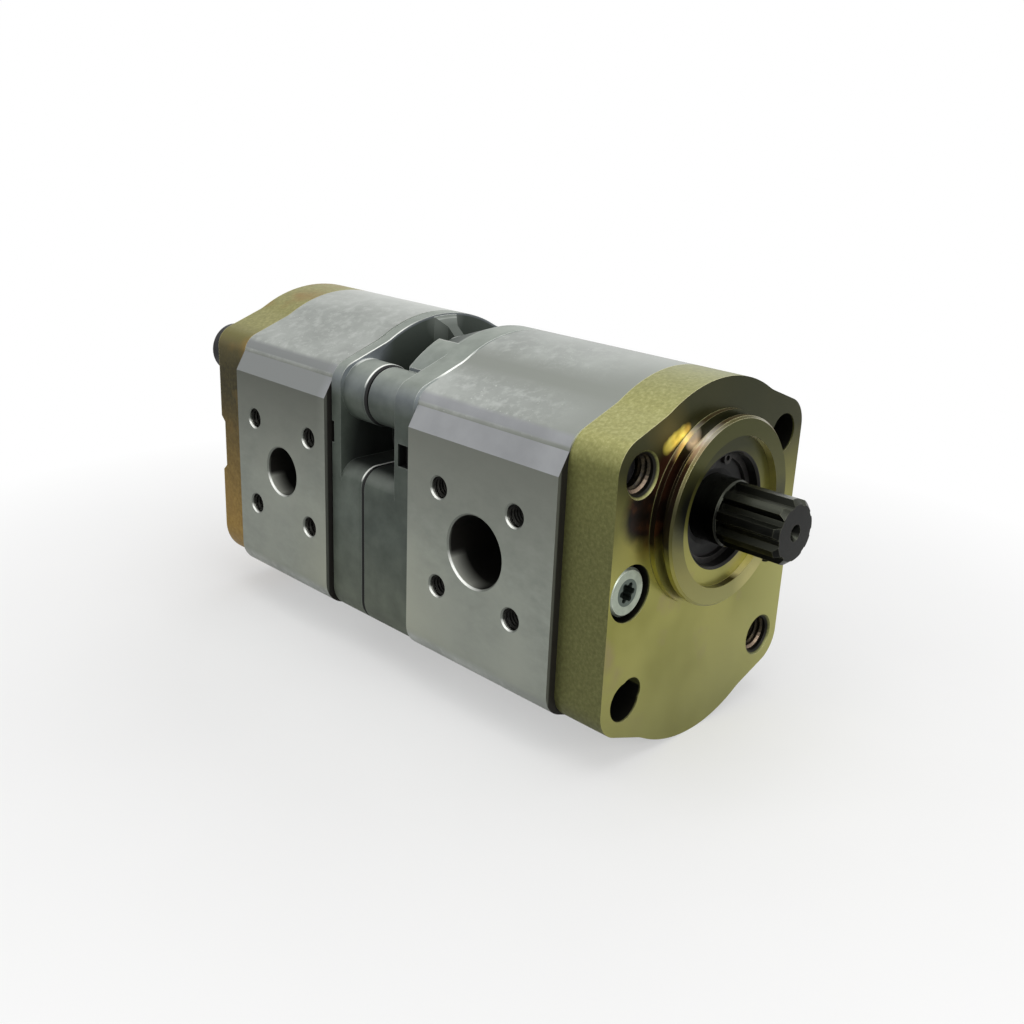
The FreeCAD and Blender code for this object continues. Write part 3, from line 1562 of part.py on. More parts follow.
pieces = [
    make_flange(),
    make_shaft_seal(),
    make_retaining_ring(),
    make_front_body(),
    make_end_cover(),
    make_middle_cover(),
    make_rear_body(),
    make_rear_cover(),
    make_face_seal("front_body_front_seal", "layout.front_body_x", False),
    make_face_seal("front_body_rear_seal", "layout.end_cover_x", True),
    make_face_seal("rear_body_front_seal", "layout.rear_body_x", False),
    make_face_seal("rear_body_rear_seal", "layout.rear_cover_x", True),
]
for label, (start, faces_front) in BLOCK_STARTS.items():
    pieces.append(make_block(label, start, faces_front))
    pieces.append(make_block_seal(f"{label}_seal", start, faces_front))
starts = [start for start, _ in BLOCK_STARTS.values()]
pieces += [
    make_bushes("front_stage_bushes", starts[:2]),
    make_bushes("rear_stage_bushes", starts[2:]),
    make_front_drive_gear(),
    make_idler_gear(
        "front_idler_gear",
        "layout.front_body_x",
        "layout.front_gear_x",
        "sizes.front_gear_width",
        "layout.end_cover_x",
    ),
    make_coupling(),
    make_stage_seal(),
    make_stage_ring(),
    make_rear_drive_gear(),
    make_idler_gear(
        "rear_idler_gear",
        "layout.rear_body_x",
        "layout.rear_gear_x",
        "sizes.rear_gear_width",
        "layout.rear_cover_x",
    ),
    make_bolts(),
    make_screws(),
    make_pins(),
]

doc.recompute()
for item in doc.Objects:
    if "Invalid" in item.State or "Error" in item.State:
        raise RuntimeError(f"{item.Label} failed: {item.State}")
for piece in pieces:
    if piece.Shape.isNull() or not piece.Shape.isValid():
        raise RuntimeError(f"{piece.Label} has no valid shape")
for piece in pieces:
    piece.Shape.exportStep(f"parts/{piece.Label}.step")
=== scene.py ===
import math

import bmesh
import bpy
from mathutils import Matrix, Vector


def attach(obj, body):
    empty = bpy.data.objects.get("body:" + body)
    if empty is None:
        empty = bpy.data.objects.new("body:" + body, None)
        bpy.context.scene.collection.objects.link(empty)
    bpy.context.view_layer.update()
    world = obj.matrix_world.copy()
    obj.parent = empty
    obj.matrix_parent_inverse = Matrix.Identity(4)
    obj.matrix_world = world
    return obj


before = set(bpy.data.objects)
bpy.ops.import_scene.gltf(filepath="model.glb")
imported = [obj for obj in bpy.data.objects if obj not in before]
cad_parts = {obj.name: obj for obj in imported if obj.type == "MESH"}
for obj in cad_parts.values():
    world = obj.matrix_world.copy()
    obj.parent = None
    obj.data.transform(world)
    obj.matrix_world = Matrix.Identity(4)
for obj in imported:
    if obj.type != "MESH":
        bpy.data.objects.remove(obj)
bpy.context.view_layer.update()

# ---- Mounting flange ----
# The real piece is a grey iron casting, zinc plated and passivated yellow. Its front face and
# pilot are turned after casting, and the top, sides and back keep the sand-cast skin.
MM = 0.001


def linear(hex_colour):
    """An sRGB hex colour as the linear colour that shaders take."""
    parts = [int(hex_colour[i : i + 2], 16) / 255 for i in (1, 3, 5)]
    return (*[c / 12.92 if c <= 0.04045 else ((c + 0.055) / 1.055) ** 2.4 for c in parts], 1)


def add(material, kind, settings=None, links=None):
    """Adds one shader node. Sockets go by identifier, and a source is a node or (node, output)."""
    tree = material.node_tree
    made = tree.nodes.new("ShaderNode" + kind)
    sockets = {socket.identifier: socket for socket in made.inputs}
    for name, value in (settings or {}).items():
        if name == "stops":
            ramp = made.color_ramp.elements
            while len(ramp) < len(value):
                ramp.new(0.5)
            for element, (place, colour) in zip(ramp, value):
                element.position = place
                element.color = linear(colour)
        elif name in sockets:
            sockets[name].default_value = value
        else:
            setattr(made, name, value)
    for name, source in (links or {}).items():
        if isinstance(source, tuple):
            output = source[0].outputs[source[1]]
        else:
            output = next(socket for socket in source.outputs if socket.enabled)
        tree.links.new(output, sockets[name])
    return made


def start_material(name):
    """An empty node material with the piece's own place and normal at hand."""
    material = bpy.data.materials.new(name)
    material.use_nodes = True
    material.node_tree.nodes.clear()
    place = add(material, "TexCoord")
    return material, (place, "Object"), (place, "Normal")


def finish_material(material, settings, links):
    """Closes a material with its Principled shader."""
    shader = add(material, "BsdfPrincipled", settings, links)
    add(material, "OutputMaterial", links={"Surface": shader})


def grain(material, place, size, detail=3, roughness=0.5, stretch=(1, 1, 1), seed=0):
    """Noise whose main feature is `size` millimetres, drawn out along an axis by `stretch`."""
    settings = {"Location": (seed, 0, 0), "Scale": stretch}
    moved = add(material, "Mapping", settings, {"Vector": place})
    noise = {"Scale": 1 / (size * MM), "Detail": detail, "Roughness": roughness}
    return (add(material, "TexNoise", noise, {"Vector": moved}), "Fac")


def between(material, value, low, high):
    """0 at `low`, 1 at `high` and a straight line between them."""
    return add(material, "MapRange", {"From Min": low, "From Max": high}, {"Value": value})


def both(material, first, second):
    """The product of two masks."""
    return add(material, "Math", {"operation": "MULTIPLY"}, {"Value": first, "Value_001": second})


def blend(material, mask, first, second):
    """One colour over another by a mask. A colour is a hex string or a node."""
    settings = {"data_type": "RGBA"}
    links = {"Factor_Float": mask}
    for socket, colour in (("A_Color", first), ("B_Color", second)):
        if isinstance(colour, str):
            settings[socket] = linear(colour)
        else:
            links[socket] = colour
    return add(material, "Mix", settings, links)


def ramp(material, value, *stops):
    """A run of colours along a value."""
    return (add(material, "ValToRGB", {"stops": stops}, {"Fac": value}), "Color")


def radius_from(material, place, centre):
    """The distance in metres from a line along the shaft through (across, up) in millimetres."""
    step = {"operation": "SUBTRACT", "Vector_001": (0, centre[0] * MM, centre[1] * MM)}
    offset = add(material, "VectorMath", step, {"Vector": place})
    step = {"operation": "MULTIPLY", "Vector_001": (0, 1, 1)}
    offset = add(material, "VectorMath", step, {"Vector": offset})
    return (add(material, "VectorMath", {"operation": "LENGTH"}, {"Vector": offset}), "Value")


def round_line(material, place, centre, radius, mirrored=False):
    """1 within `radius` millimetres of a line along the shaft through (across, up), 0 outside."""
    if mirrored:
        place = add(material, "VectorMath", {"operation": "ABSOLUTE"}, {"Vector": place})
    distance = radius_from(material, place, centre)
    return between(material, distance, (radius + 0.05) * MM, (radius - 0.05) * MM)


def facing(material, vector, axis, low, high, mirrored=False):
    """A mask from one part of a normal, 0 at `low` and 1 at `high`."""
    if mirrored:
        vector = add(material, "VectorMath", {"operation": "ABSOLUTE"}, {"Vector": vector})
    value = (add(material, "SeparateXYZ", links={"Vector": vector}), axis)
    return between(material, value, low, high)


def fade_along(material, place, axis, low, high, mirrored=False):
    """The same mask from a place, in millimetres."""
    return facing(material, place, axis, low * MM, high * MM, mirrored)


def band(material, place, axis, start, end):
    """1 between two soft ends in millimetres, each given as (where it is 0, where it is 1)."""
    first = fade_along(material, place, axis, *start)
    return both(material, first, fade_along(material, place, axis, *end))


def soft_spot(material, place, centre, core, reach, ragged):
    """1 near a line along the shaft through (across, up), fading out raggedly; millimetres."""
    noise = grain(material, place, 7, detail=3, roughness=0.6, seed=4)
    span = {"To Min": ragged * MM, "To Max": -ragged * MM}
    rough = add(material, "MapRange", span, {"Value": noise})
    sources = {"Value": radius_from(material, place, centre), "Value_001": rough}
    distance = add(material, "Math", {"operation": "ADD"}, sources)
    return between(material, distance, reach * MM, core * MM)


def worn_and_lit_edges(material, width):
    """1 on outer edges, where a normal rounded over `width` millimetres turns off the face's."""
    rounded = add(material, "Bevel", {"samples": 4, "Radius": width * MM})
    own = (add(material, "NewGeometry"), "Normal")
    turned = add(
        material,
        "VectorMath",
        {"operation": "DOT_PRODUCT"},
        {"Vector": rounded, "Vector_001": own},
    )
    return between(material, (turned, "Value"), 0.995, 0.9)


def dress(material, *nodes):
    """Gives CAD nodes a material in every slot."""
    for name in nodes:
        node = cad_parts[name]
        if not node.material_slots:
            node.data.materials.append(None)
        for slot in node.material_slots:
            slot.material = material


DRIVE_AXIS = 15.6
HOLE_OFFSET = 30.0
HOLE_RADIUS = 6.6
SCREW_OFFSET = 31.2
SEAT_RADIUS = 7.7
CENTRE_BORE_RADIUS = 15.7
RECESS_RADIUS = 20.1
# Stations along the shaft where one surface ends and the next begins, each as a soft step.
OFF_THE_FACE = (0.1, 0.2)
INTO_THE_HOLES = (-0.25, -0.6)
BEHIND_PILOT_FRONT = (4.6, 4.4)
ON_PILOT_FRONT = (5.0, 5.3)
GROOVE_START = (1.7, 1.9)
GROOVE_END = (4.0, 3.8)

# Yellow-passivated zinc on turned and sand-cast iron: a satin olive-gold skin whose tint drifts
# to violet and grey, glossier where it was turned and pebbled where it was cast. Its brown patches
# are painted reflections.
flange_finish, place, normal = start_material("yellow_passivated_zinc_on_iron")
drift = grain(flange_finish, place, 24, detail=2)
turned_tint = ramp(flange_finish, drift, (0.36, "#87853f"), (0.5, "#95924a"), (0.62, "#9b974e"))
violet = between(flange_finish, grain(flange_finish, place, 11, seed=3), 0.56, 0.78)
turned_tint = blend(flange_finish, violet, turned_tint, "#8f8259")
low_end = fade_along(flange_finish, place, "Z", -8, -45)
low_tint = ramp(flange_finish, drift, (0.36, "#83824a"), (0.62, "#8e8d55"))
turned_tint = blend(flange_finish, low_end, turned_tint, low_tint)
lit_side = both(
    flange_finish,
    fade_along(flange_finish, place, "Y", 16, 38),
    fade_along(flange_finish, place, "Z", 2, -10),
)
turned_tint = blend(flange_finish, lit_side, turned_tint, "#a19f5a")
# Painted dark reflection over the top of the face, fading out downwards.
painted_dark_top = fade_along(flange_finish, place, "Z", 3, 32)
painted_dark_top_tone = ramp(flange_finish, drift, (0.36, "#303216"), (0.62, "#383819"))
turned_tint = blend(flange_finish, painted_dark_top, turned_tint, painted_dark_top_tone)
# Painted reflections round the upper tapped corner: a yellow glint above the hole, and the
# shaft's brown-black reflection between the hole and the pilot.
painted_dark_reflection_tone = ramp(
    flange_finish,
    grain(flange_finish, place, 3.5, detail=3, seed=7),
    (0.36, "#130d08"),
    (0.52, "#24160d"),
    (0.7, "#472a15"),
)
painted_reflections = (
    ((-22, 41), 0, 9, 1, "#544b1c"),
    ((-30, 12), 3, 9, 2, "#8f8a45"),
    ((-26, 12), 0, 5, 2, "#6a5a20"),
    ((-27, 20.5), 6.5, 10.5, 1.5, painted_dark_reflection_tone),
    ((-31, 17.5), 0.5, 4.5, 1.5, painted_dark_reflection_tone),
    ((-21, 29), 4, 7, 2, "#3d2114"),
    ((-21.4, 35.2), 0.8, 2.2, 0.5, "#e6d860"),
    ((-20, 36), 1.1, 2.3, 0.5, "#fff478"),
    ((-18.6, 36.8), 1.1, 2.2, 0.5, "#fbe96a"),
    ((-17.1, 37.5), 0.9, 2.0, 0.5, "#e0cc52"),
    ((-15.6, 38.2), 0.9, 1.9, 0.4, "#ecd864"),
    ((-14.1, 38.8), 0.5, 1.6, 0.4, "#b89a3c"),
)
for centre, core, reach, ragged, tone in painted_reflections:
    painted_reflection = soft_spot(flange_finish, place, centre, core, reach, ragged)
    turned_tint = blend(flange_finish, painted_reflection, turned_tint, tone)
# The pilot's end is a little lighter, with the same painted dark reflection towards the top and
# painted spots of shade and light. Its grooved side has painted dark reflections, darker in the
# groove, and painted glints on its rims.
pilot_painted_reflection = ramp(
    flange_finish,
    fade_along(flange_finish, place, "Z", -8, 36),
    (0.0, "#8c8950"),
    (0.25, "#837e45"),
    (0.5, "#57562a"),
    (0.7, "#4f4f24"),
    (1.0, "#434419"),
)
pilot_front = fade_along(flange_finish, place, "X", *ON_PILOT_FRONT)
turned_tint = blend(flange_finish, pilot_front, turned_tint, pilot_painted_reflection)
# Painted spots of shade and light on the pilot's end, dark where the shaft is reflected.
pilot_painted_shading_spots = (
    ((-17, 20), 4, 11, "#12120c"),
    ((13, -5), 2, 9, "#aea668"),
    ((21.5, 14), 1, 8, "#2a2b16"),
)
for centre, core, reach, tone in pilot_painted_shading_spots:
    painted_shading = soft_spot(flange_finish, place, centre, core, reach, 1)
    painted_shading = both(flange_finish, pilot_front, painted_shading)
    turned_tint = blend(flange_finish, painted_shading, turned_tint, tone)
on_pilot = both(
    flange_finish,
    fade_along(flange_finish, place, "X", *OFF_THE_FACE),
    facing(flange_finish, normal, "X", 0.75, 0.6, mirrored=True),
)
# Painted dark reflections and glints along the pilot's grooved side, by height.
rim_painted_reflections = ramp(
    flange_finish,
    fade_along(flange_finish, place, "Z", -10, 42),
    (0.0, "#8f8a44"),
    (0.3, "#a09a42"),
    (0.42, "#262010"),
    (0.6, "#1d160d"),
    (0.8, "#3a2415"),
    (0.87, "#d8b898"),
    (0.91, "#fff6ea"),
    (0.96, "#5a4a2a"),
)
groove = band(flange_finish, place, "X", GROOVE_START, GROOVE_END)
groove = both(flange_finish, groove, fade_along(flange_finish, place, "Z", 34, 30))
rim_painted_reflections = blend(flange_finish, groove, rim_painted_reflections, "#2b2413")
turned_tint = blend(flange_finish, on_pilot, turned_tint, rim_painted_reflections)
# A painted glint on the pilot's rims at the upper left.
below_front = band(flange_finish, place, "X", OFF_THE_FACE, BEHIND_PILOT_FRONT)
rim_painted_glint = soft_spot(flange_finish, place, (-13.6, 36.6), 1.2, 3.4, 0.8)
rim_painted_glint = both(flange_finish, below_front, rim_painted_glint)
turned_tint = blend(flange_finish, rim_painted_glint, turned_tint, "#fff2d8")
# Painted shade and light on the recess wall: dark low down, a painted highlight low right.
in_recess = round_line(flange_finish, place, (0, DRIVE_AXIS), RECESS_RADIUS)
in_recess = both(flange_finish, on_pilot, in_recess)
recess_painted_shading = ramp(
    flange_finish,
    fade_along(flange_finish, place, "Y", -12, 20),
    (0.2, "#6f6a38"),
    (0.35, "#2b2412"),
    (0.52, "#3f3418"),
    (0.6, "#fff4cf"),
    (0.78, "#d9cf8c"),
    (0.9, "#8f8a52"),
)
turned_tint = blend(flange_finish, in_recess, turned_tint, recess_painted_shading)
mottle = grain(flange_finish, place, 1.0, detail=4, roughness=0.6)
cast_tint = ramp(flange_finish, mottle, (0.3, "#585932"), (0.5, "#62633a"), (0.72, "#6f7044"))
paler = fade_along(flange_finish, place, "Z", 12, 38)
cast_tint = blend(
    flange_finish,
    paler,
    cast_tint,
    ramp(flange_finish, mottle, (0.3, "#65663a"), (0.5, "#6f703f"), (0.72, "#7c7c4a")),
)
on_top = facing(flange_finish, normal, "Z", 0.2, 0.8)
lit_skin = ramp(flange_finish, mottle, (0.3, "#8a8855"), (0.5, "#97965f"), (0.72, "#aaa874"))
# The far side of the cast top is painted darker, as shade.
far_top_painted_shade = ramp(flange_finish, mottle, (0.3, "#62643a"), (0.72, "#76784b"))
far_side = fade_along(flange_finish, place, "Y", -22, 8)
lit_skin = blend(flange_finish, far_side, lit_skin, far_top_painted_shade)
cast_tint = blend(flange_finish, on_top, cast_tint, lit_skin)
is_turned = add(
    flange_finish,
    "Math",
    {"operation": "MAXIMUM"},
    {
        "Value": facing(flange_finish, normal, "X", 0.7, 0.95, mirrored=True),
        "Value_001": fade_along(flange_finish, place, "X", *OFF_THE_FACE),
    },
)
tint = blend(flange_finish, is_turned, cast_tint, turned_tint)
# A painted highlight along the edges of the cast top.
edge = worn_and_lit_edges(flange_finish, 0.35)
tint = blend(flange_finish, both(flange_finish, edge, on_top), tint, "#d8d2a4")
# Painted shade inside the corner holes, the screws' seats and the centre bore.
hole_square = (HOLE_OFFSET, HOLE_OFFSET)
corner_holes = round_line(flange_finish, place, hole_square, HOLE_RADIUS, mirrored=True)
centre_bore = round_line(flange_finish, place, (0, DRIVE_AXIS), CENTRE_BORE_RADIUS)
screw_seats = round_line(flange_finish, place, (SCREW_OFFSET, 0), SEAT_RADIUS, mirrored=True)
below_face = fade_along(flange_finish, place, "X", *INTO_THE_HOLES)
for hollow in (corner_holes, screw_seats):
    tint = blend(flange_finish, both(flange_finish, hollow, below_face), tint, "#14130d")
tint = blend(flange_finish, centre_bore, tint, "#191815")
skin = grain(flange_finish, place, 1.1, detail=4, roughness=0.55)
pebbles = add(
    flange_finish,
    "Bump",
    {"Strength": 0.35, "Distance": 0.2 * MM},
    {"Height": both(flange_finish, skin, between(flange_finish, is_turned, 1, 0))},
)
gloss = add(flange_finish, "MapRange", {"To Min": 0.5, "To Max": 0.3}, {"Value": is_turned})
finish_material(
    flange_finish,
    {"Metallic": 0.7},
    {"Base Color": tint, "Roughness": gloss, "Normal": pebbles},
)
dress(flange_finish, "front_flange")

# ---- Threads of the tapped mounting corners ----
# Two opposite corner holes of the flange are tapped M10 in the iron. The part's source leaves
# plain bores there, so the cut thread's ridge stands in them here.
M10_PITCH = 1.5
M10_BORE_RADIUS = 5.1
M10_CREST_RADIUS = 4.3
M10_MOUTH = -0.9
M10_SEEN_DEPTH = 4.6


def thread_ridge(name, base, along, outer, inner, pitch, depth, material):
    """A helical ridge inside a bore, in millimetres, from its mouth inwards along `along`."""
    steps = 28  # to a turn
    turns = int(depth / pitch)
    along = Vector(along)
    side = along.orthogonal().normalized()
    other = along.cross(side)
    mesh = bmesh.new()
    rows = []
    for step in range(steps * turns + 1):
        angle = 2 * math.pi * step / steps
        out = math.cos(angle) * side + math.sin(angle) * other
        travel = pitch * (0.5 + step / steps)
        fade = min(1, step / steps, (steps * turns - step) / steps)
        crest = outer - (outer - inner) * fade
        # the ridge's section: how far out, and how far along in parts of the pitch
        profile = ((outer, -0.46), (crest, -0.09), (crest, 0.09), (outer, 0.46))
        rows.append(
            [
                mesh.verts.new((Vector(base) + out * far + along * (travel + rise * pitch)) * MM)
                for far, rise in profile
            ]
        )
    for low, high in zip(rows, rows[1:]):
        for i in range(3):
            mesh.faces.new((low[i], low[i + 1], high[i + 1], high[i]))
        mesh.faces.new((low[3], low[0], high[0], high[3]))
    mesh.faces.new(rows[0][::-1])
    mesh.faces.new(rows[-1])
    bmesh.ops.remove_doubles(mesh, verts=mesh.verts, dist=1e-7)
    bmesh.ops.dissolve_degenerate(mesh, edges=mesh.edges, dist=1e-7)
    bmesh.ops.recalc_face_normals(mesh, faces=mesh.faces)
    data = bpy.data.meshes.new(name)
    mesh.to_mesh(data)
    mesh.free()
    ridge = bpy.data.objects.new(name, data)
    bpy.context.scene.collection.objects.link(ridge)
    data.materials.append(material)
    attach(ridge, "housing")


# The cut thread is painted dark as the shade deep in the hole, with a painted glint on the faces
# that look up near the mouth.
tapped_finish, place, normal = start_material("tapped_iron_thread_painted_dark")
thread_mottle = grain(tapped_finish, place, 1.5)
cut = ramp(tapped_finish, thread_mottle, (0.35, "#1d1912"), (0.7, "#3c3423"))
thread_painted_glint = both(
    tapped_finish,
    facing(tapped_finish, normal, "Z", 0.2, 0.7),
    fade_along(tapped_finish, place, "X", -4, -1.5),
)
cut = blend(tapped_finish, thread_painted_glint, cut, "#b39c86")
finish_material(tapped_finish, {"Metallic": 0.7, "Roughness": 0.38}, {"Base Color": cut})
for name, side in (("upper_mounting_thread", -1), ("lower_mounting_thread", 1)):
    thread_ridge(
        name,
        (M10_MOUTH, side * HOLE_OFFSET, -side * HOLE_OFFSET),
        (-1, 0, 0),
        M10_BORE_RADIUS,
        M10_CREST_RADIUS,
        M10_PITCH,
        M10_SEEN_DEPTH,
        tapped_finish,
    )

# ---- Shaft seal and its retaining ring ----
# The lip seal is black nitrile rubber, moulded and pressed into the flange's bore.
# The ring in front of it is stamped spring steel with a dark phosphate coat.

# Moulded rubber: even, deep black with a dull sheen and a fine bloom.
seal_finish, place, _ = start_material("moulded_nitrile_rubber")
bloom = grain(seal_finish, place, 3.0)
finish_material(
    seal_finish,
    {"Roughness": 0.6, "IOR": 1.52, "Specular IOR Level": 0.3},
    {"Base Color": ramp(seal_finish, bloom, (0.35, "#161616"), (0.7, "#242423"))},
)
dress(seal_finish, "shaft_seal")

# Phosphated steel: nearly black, with a slightly brighter rubbed edge.
ring_finish, place, _ = start_material("phosphated_spring_steel")
coat = ramp(ring_finish, grain(ring_finish, place, 1.2), (0.3, "#1d1c1b"), (0.7, "#343230"))
coat = blend(ring_finish, worn_and_lit_edges(ring_finish, 0.12), coat, "#5b5853")
finish_material(ring_finish, {"Metallic": 0.6, "Roughness": 0.42}, {"Base Color": coat})
dress(ring_finish, "seal_retaining_ring")

# ---- Pump bodies ----
# Each stage's body is a length of extruded aluminium, blasted on its outside, bored for the two
# gears and milled flat on both sides for the ports.
PORT_FACE = 42.3
PAD_HALF_HEIGHT = 27.0
# Between the two bodies, as a soft step towards the front one and towards the rear one.
TO_THE_FRONT = (-100, -99)
TO_THE_REAR = (-99, -100)

# Blasted and milled aluminium: pale satin grey, blotched by handling, darker where it was milled.
body_finish, place, normal = start_material("extruded_aluminium_blasted_and_milled")
blotch = grain(body_finish, place, 16, detail=4, roughness=0.55)
skin = ramp(body_finish, blotch, (0.32, "#8f938e"), (0.5, "#9b9f9a"), (0.68, "#a9ada8"))
scuffs = between(body_finish, grain(body_finish, place, 3, 5, 0.65, seed=9), 0.48, 0.86)
skin = blend(body_finish, scuffs, skin, "#bdc0bc")
fine = grain(body_finish, place, 0.7, detail=2)
skin = blend(body_finish, between(body_finish, fine, 0.68, 0.76), skin, "#c6c9c4")
# Painted light and shade on the far side of the tops: lighter on the rear body, darker
# on the front one.
far_top = fade_along(body_finish, place, "Y", -16, 14)
is_front = fade_along(body_finish, place, "X", *TO_THE_FRONT)
skin = blend(body_finish, far_top, skin, blend(body_finish, is_front, "#c3c6c1", "#7f837e"))
# Painted shade on the front body's top beside the flange.
beside_flange_painted_shade = both(body_finish, is_front, fade_along(body_finish, place, "X", -40, -18))
skin = blend(body_finish, beside_flange_painted_shade, skin, "#8b8f89")
# A shade lies where the front body's shoulder runs into its crown.
valley = band(body_finish, place, "Y", (-29, -22), (-12, -19))
skin = blend(body_finish, both(body_finish, is_front, valley), skin, "#868a83")
streak = grain(body_finish, place, 1.6, detail=3, roughness=0.6, stretch=(0.3, 1, 0.5))
milled = ramp(body_finish, streak, (0.3, "#848981"), (0.5, "#8b9087"), (0.72, "#92978e"))
warm = between(body_finish, grain(body_finish, place, 26, seed=5), 0.45, 0.75)
milled = blend(body_finish, warm, milled, "#969a90")
low_down = fade_along(body_finish, place, "Z", 4, -26)
# Low down, the ends of the pads that face the waist are paler.
front_rear_end = band(body_finish, place, "X", (-50, -70), TO_THE_FRONT)
rear_front_end = band(body_finish, place, "X", (-128, -108), TO_THE_REAR)
for end, tone in ((front_rear_end, "#a3a698"), (rear_front_end, "#9a9d8f")):
    milled = blend(body_finish, both(body_finish, end, low_down), milled, tone)
# Painted shade on the milled sides: darker towards the top, darker still on the rear body.
high = fade_along(body_finish, place, "Z", -6, 30)
rearward = fade_along(body_finish, place, "X", -108, -112)
painted_shading = blend(body_finish, rearward, "#6f726a", "#5e6159")
milled = blend(body_finish, high, milled, painted_shading)
is_side = facing(body_finish, normal, "Y", 0.93, 0.99, mirrored=True)
tint = blend(body_finish, is_side, skin, milled)
slope = both(
    body_finish,
    facing(body_finish, normal, "Y", 0.6, 0.75, mirrored=True),
    facing(body_finish, normal, "Z", 0.3, 0.4),
)
lilac = ramp(body_finish, blotch, (0.32, "#8a8c8e"), (0.68, "#999b9d"))
lilac = blend(body_finish, rearward, lilac, "#828584")
tint = blend(body_finish, slope, tint, lilac)
inside_pads = (PAD_HALF_HEIGHT, PAD_HALF_HEIGHT - 0.5)
in_pads = fade_along(body_finish, place, "Z", *inside_pads, mirrored=True)
# The countersinks of the holes carry a painted highlight where they face up, and are a darker
# grey elsewhere.
countersunk = facing(body_finish, normal, "Y", 0.9, 0.8, mirrored=True)
countersunk = both(body_finish, countersunk, in_pads)
upward = facing(body_finish, normal, "Z", 0.15, 0.45)
upward = both(body_finish, upward, facing(body_finish, normal, "X", -0.25, 0.2))
countersink_painted_glint = blend(body_finish, upward, "#6f736c", "#f2f4ee")
tint = blend(body_finish, countersunk, tint, countersink_painted_glint)
# Painted shade on the bodies' end faces, lighter at the pads' edges and near the crown.
end_face = facing(body_finish, normal, "X", 0.9, 0.97, mirrored=True)
at_pad = (PORT_FACE - 1.2, PORT_FACE - 0.8)
at_pad = fade_along(body_finish, place, "Y", *at_pad, mirrored=True)
end_face_painted_shade = blend(body_finish, at_pad, "#22201d", "#5c5e57")
near_crown = fade_along(body_finish, place, "Z", 33, 37)
end_face_painted_shade = blend(body_finish, near_crown, end_face_painted_shade, "#c2c6be")
# Painted shade in the port bores and screw holes, with a painted highlight on the lower lips.
near_mouth = fade_along(body_finish, place, "Y", 36, PORT_FACE - 0.6, mirrored=True)
bore_painted_shading = blend(body_finish, both(body_finish, near_mouth, upward), "#1b1a17", "#c9cbc0")
below_pad = (PORT_FACE - 0.4, PORT_FACE - 0.55)
below_pad = fade_along(body_finish, place, "Y", *below_pad, mirrored=True)
tint = blend(body_finish, both(body_finish, below_pad, in_pads), tint, bore_painted_shading)
tint = blend(body_finish, end_face, tint, end_face_painted_shade)
relief = {"Strength": 0.3, "Distance": 0.04 * MM}
relief = add(body_finish, "Bump", relief, {"Height": fine})
finish_material(
    body_finish,
    {"Metallic": 0.5, "Roughness": 0.48},
    {"Base Color": tint, "Normal": relief},
)
dress(body_finish, "front_pump_body", "rear_pump_body")

# ---- Threads of the port screws' holes ----
# Four M6 holes stand round each port, tapped into the aluminium of the bodies' sides. As in the
# flange, the source leaves them plain and the ridge is added here.
M6_PITCH = 1.0
M6_BORE_RADIUS = 3.0
M6_CREST_RADIUS = 2.5
M6_MOUTH_DEPTH = 0.4
M6_SEEN_DEPTH = 9.0
# Each port's station along the shaft, its side and half its screws' square.
port_screws = {
    "front_inlet": (-43.6, -1, 14.14),
    "rear_inlet": (-130.5, -1, 14.14),
    "front_outlet": (-43.6, 1, 12.375),
    "rear_outlet": (-130.5, 1, 12.375),
}

# Cut aluminium thread, painted dark as the shade deep in the holes.
port_thread_finish, place, _ = start_material("tapped_aluminium_thread")
thread_mottle = grain(port_thread_finish, place, 1.2)
finish_material(
    port_thread_finish,
    {"Metallic": 0.8, "Roughness": 0.4},
    {"Base Color": ramp(port_thread_finish, thread_mottle, (0.35, "#11110f"), (0.7, "#262622"))},
)
for port, (station, side, offset) in port_screws.items():
    mouth = side * (PORT_FACE - M6_MOUTH_DEPTH)
    for number, (across, up) in enumerate(((1, 1), (1, -1), (-1, -1), (-1, 1)), 1):
        thread_ridge(
            f"{port}_thread_{number}",
            (station + across * offset, mouth, up * offset),
            (0, -side, 0),
            M6_BORE_RADIUS,
            M6_CREST_RADIUS,
            M6_PITCH,
            M6_SEEN_DEPTH,
            port_thread_finish,
        )

# ---- Waist covers ----
# Two aluminium die castings close the stages towards each other and carry the coupling. They
# meet at a split in the waist and are left as cast but for the joint faces.
SPLIT = -93.0
CROWN_AXIS = 7.5
WEB_TOP = 48.0
NOTCHES = (38, 18)
NOTCH_REACH = 4.2

# As-cast aluminium: dull grey-green skin, mottled, with paler fettled edges, painted highlights
# on the high edges and rims, painted shade in the hollows, slots and notches, and a dark split.
waist_finish, place, normal = start_material("die_cast_aluminium_as_cast")
mottle = grain(waist_finish, place, 7, detail=4, roughness=0.55)
skin = ramp(waist_finish, mottle, (0.3, "#3c443d"), (0.5, "#454d46"), (0.72, "#505850"))
is_rear = fade_along(waist_finish, place, "X", SPLIT - 1, SPLIT - 2)
rear_skin = ramp(waist_finish, mottle, (0.3, "#495149"), (0.5, "#535b53"), (0.72, "#5e665e"))
skin = blend(waist_finish, is_rear, skin, rear_skin)
low_skin = ramp(waist_finish, mottle, (0.3, "#555b4f"), (0.5, "#5e6457"), (0.72, "#686e60"))
low_end = fade_along(waist_finish, place, "Z", -8, -38)
skin = blend(waist_finish, low_end, skin, low_skin)
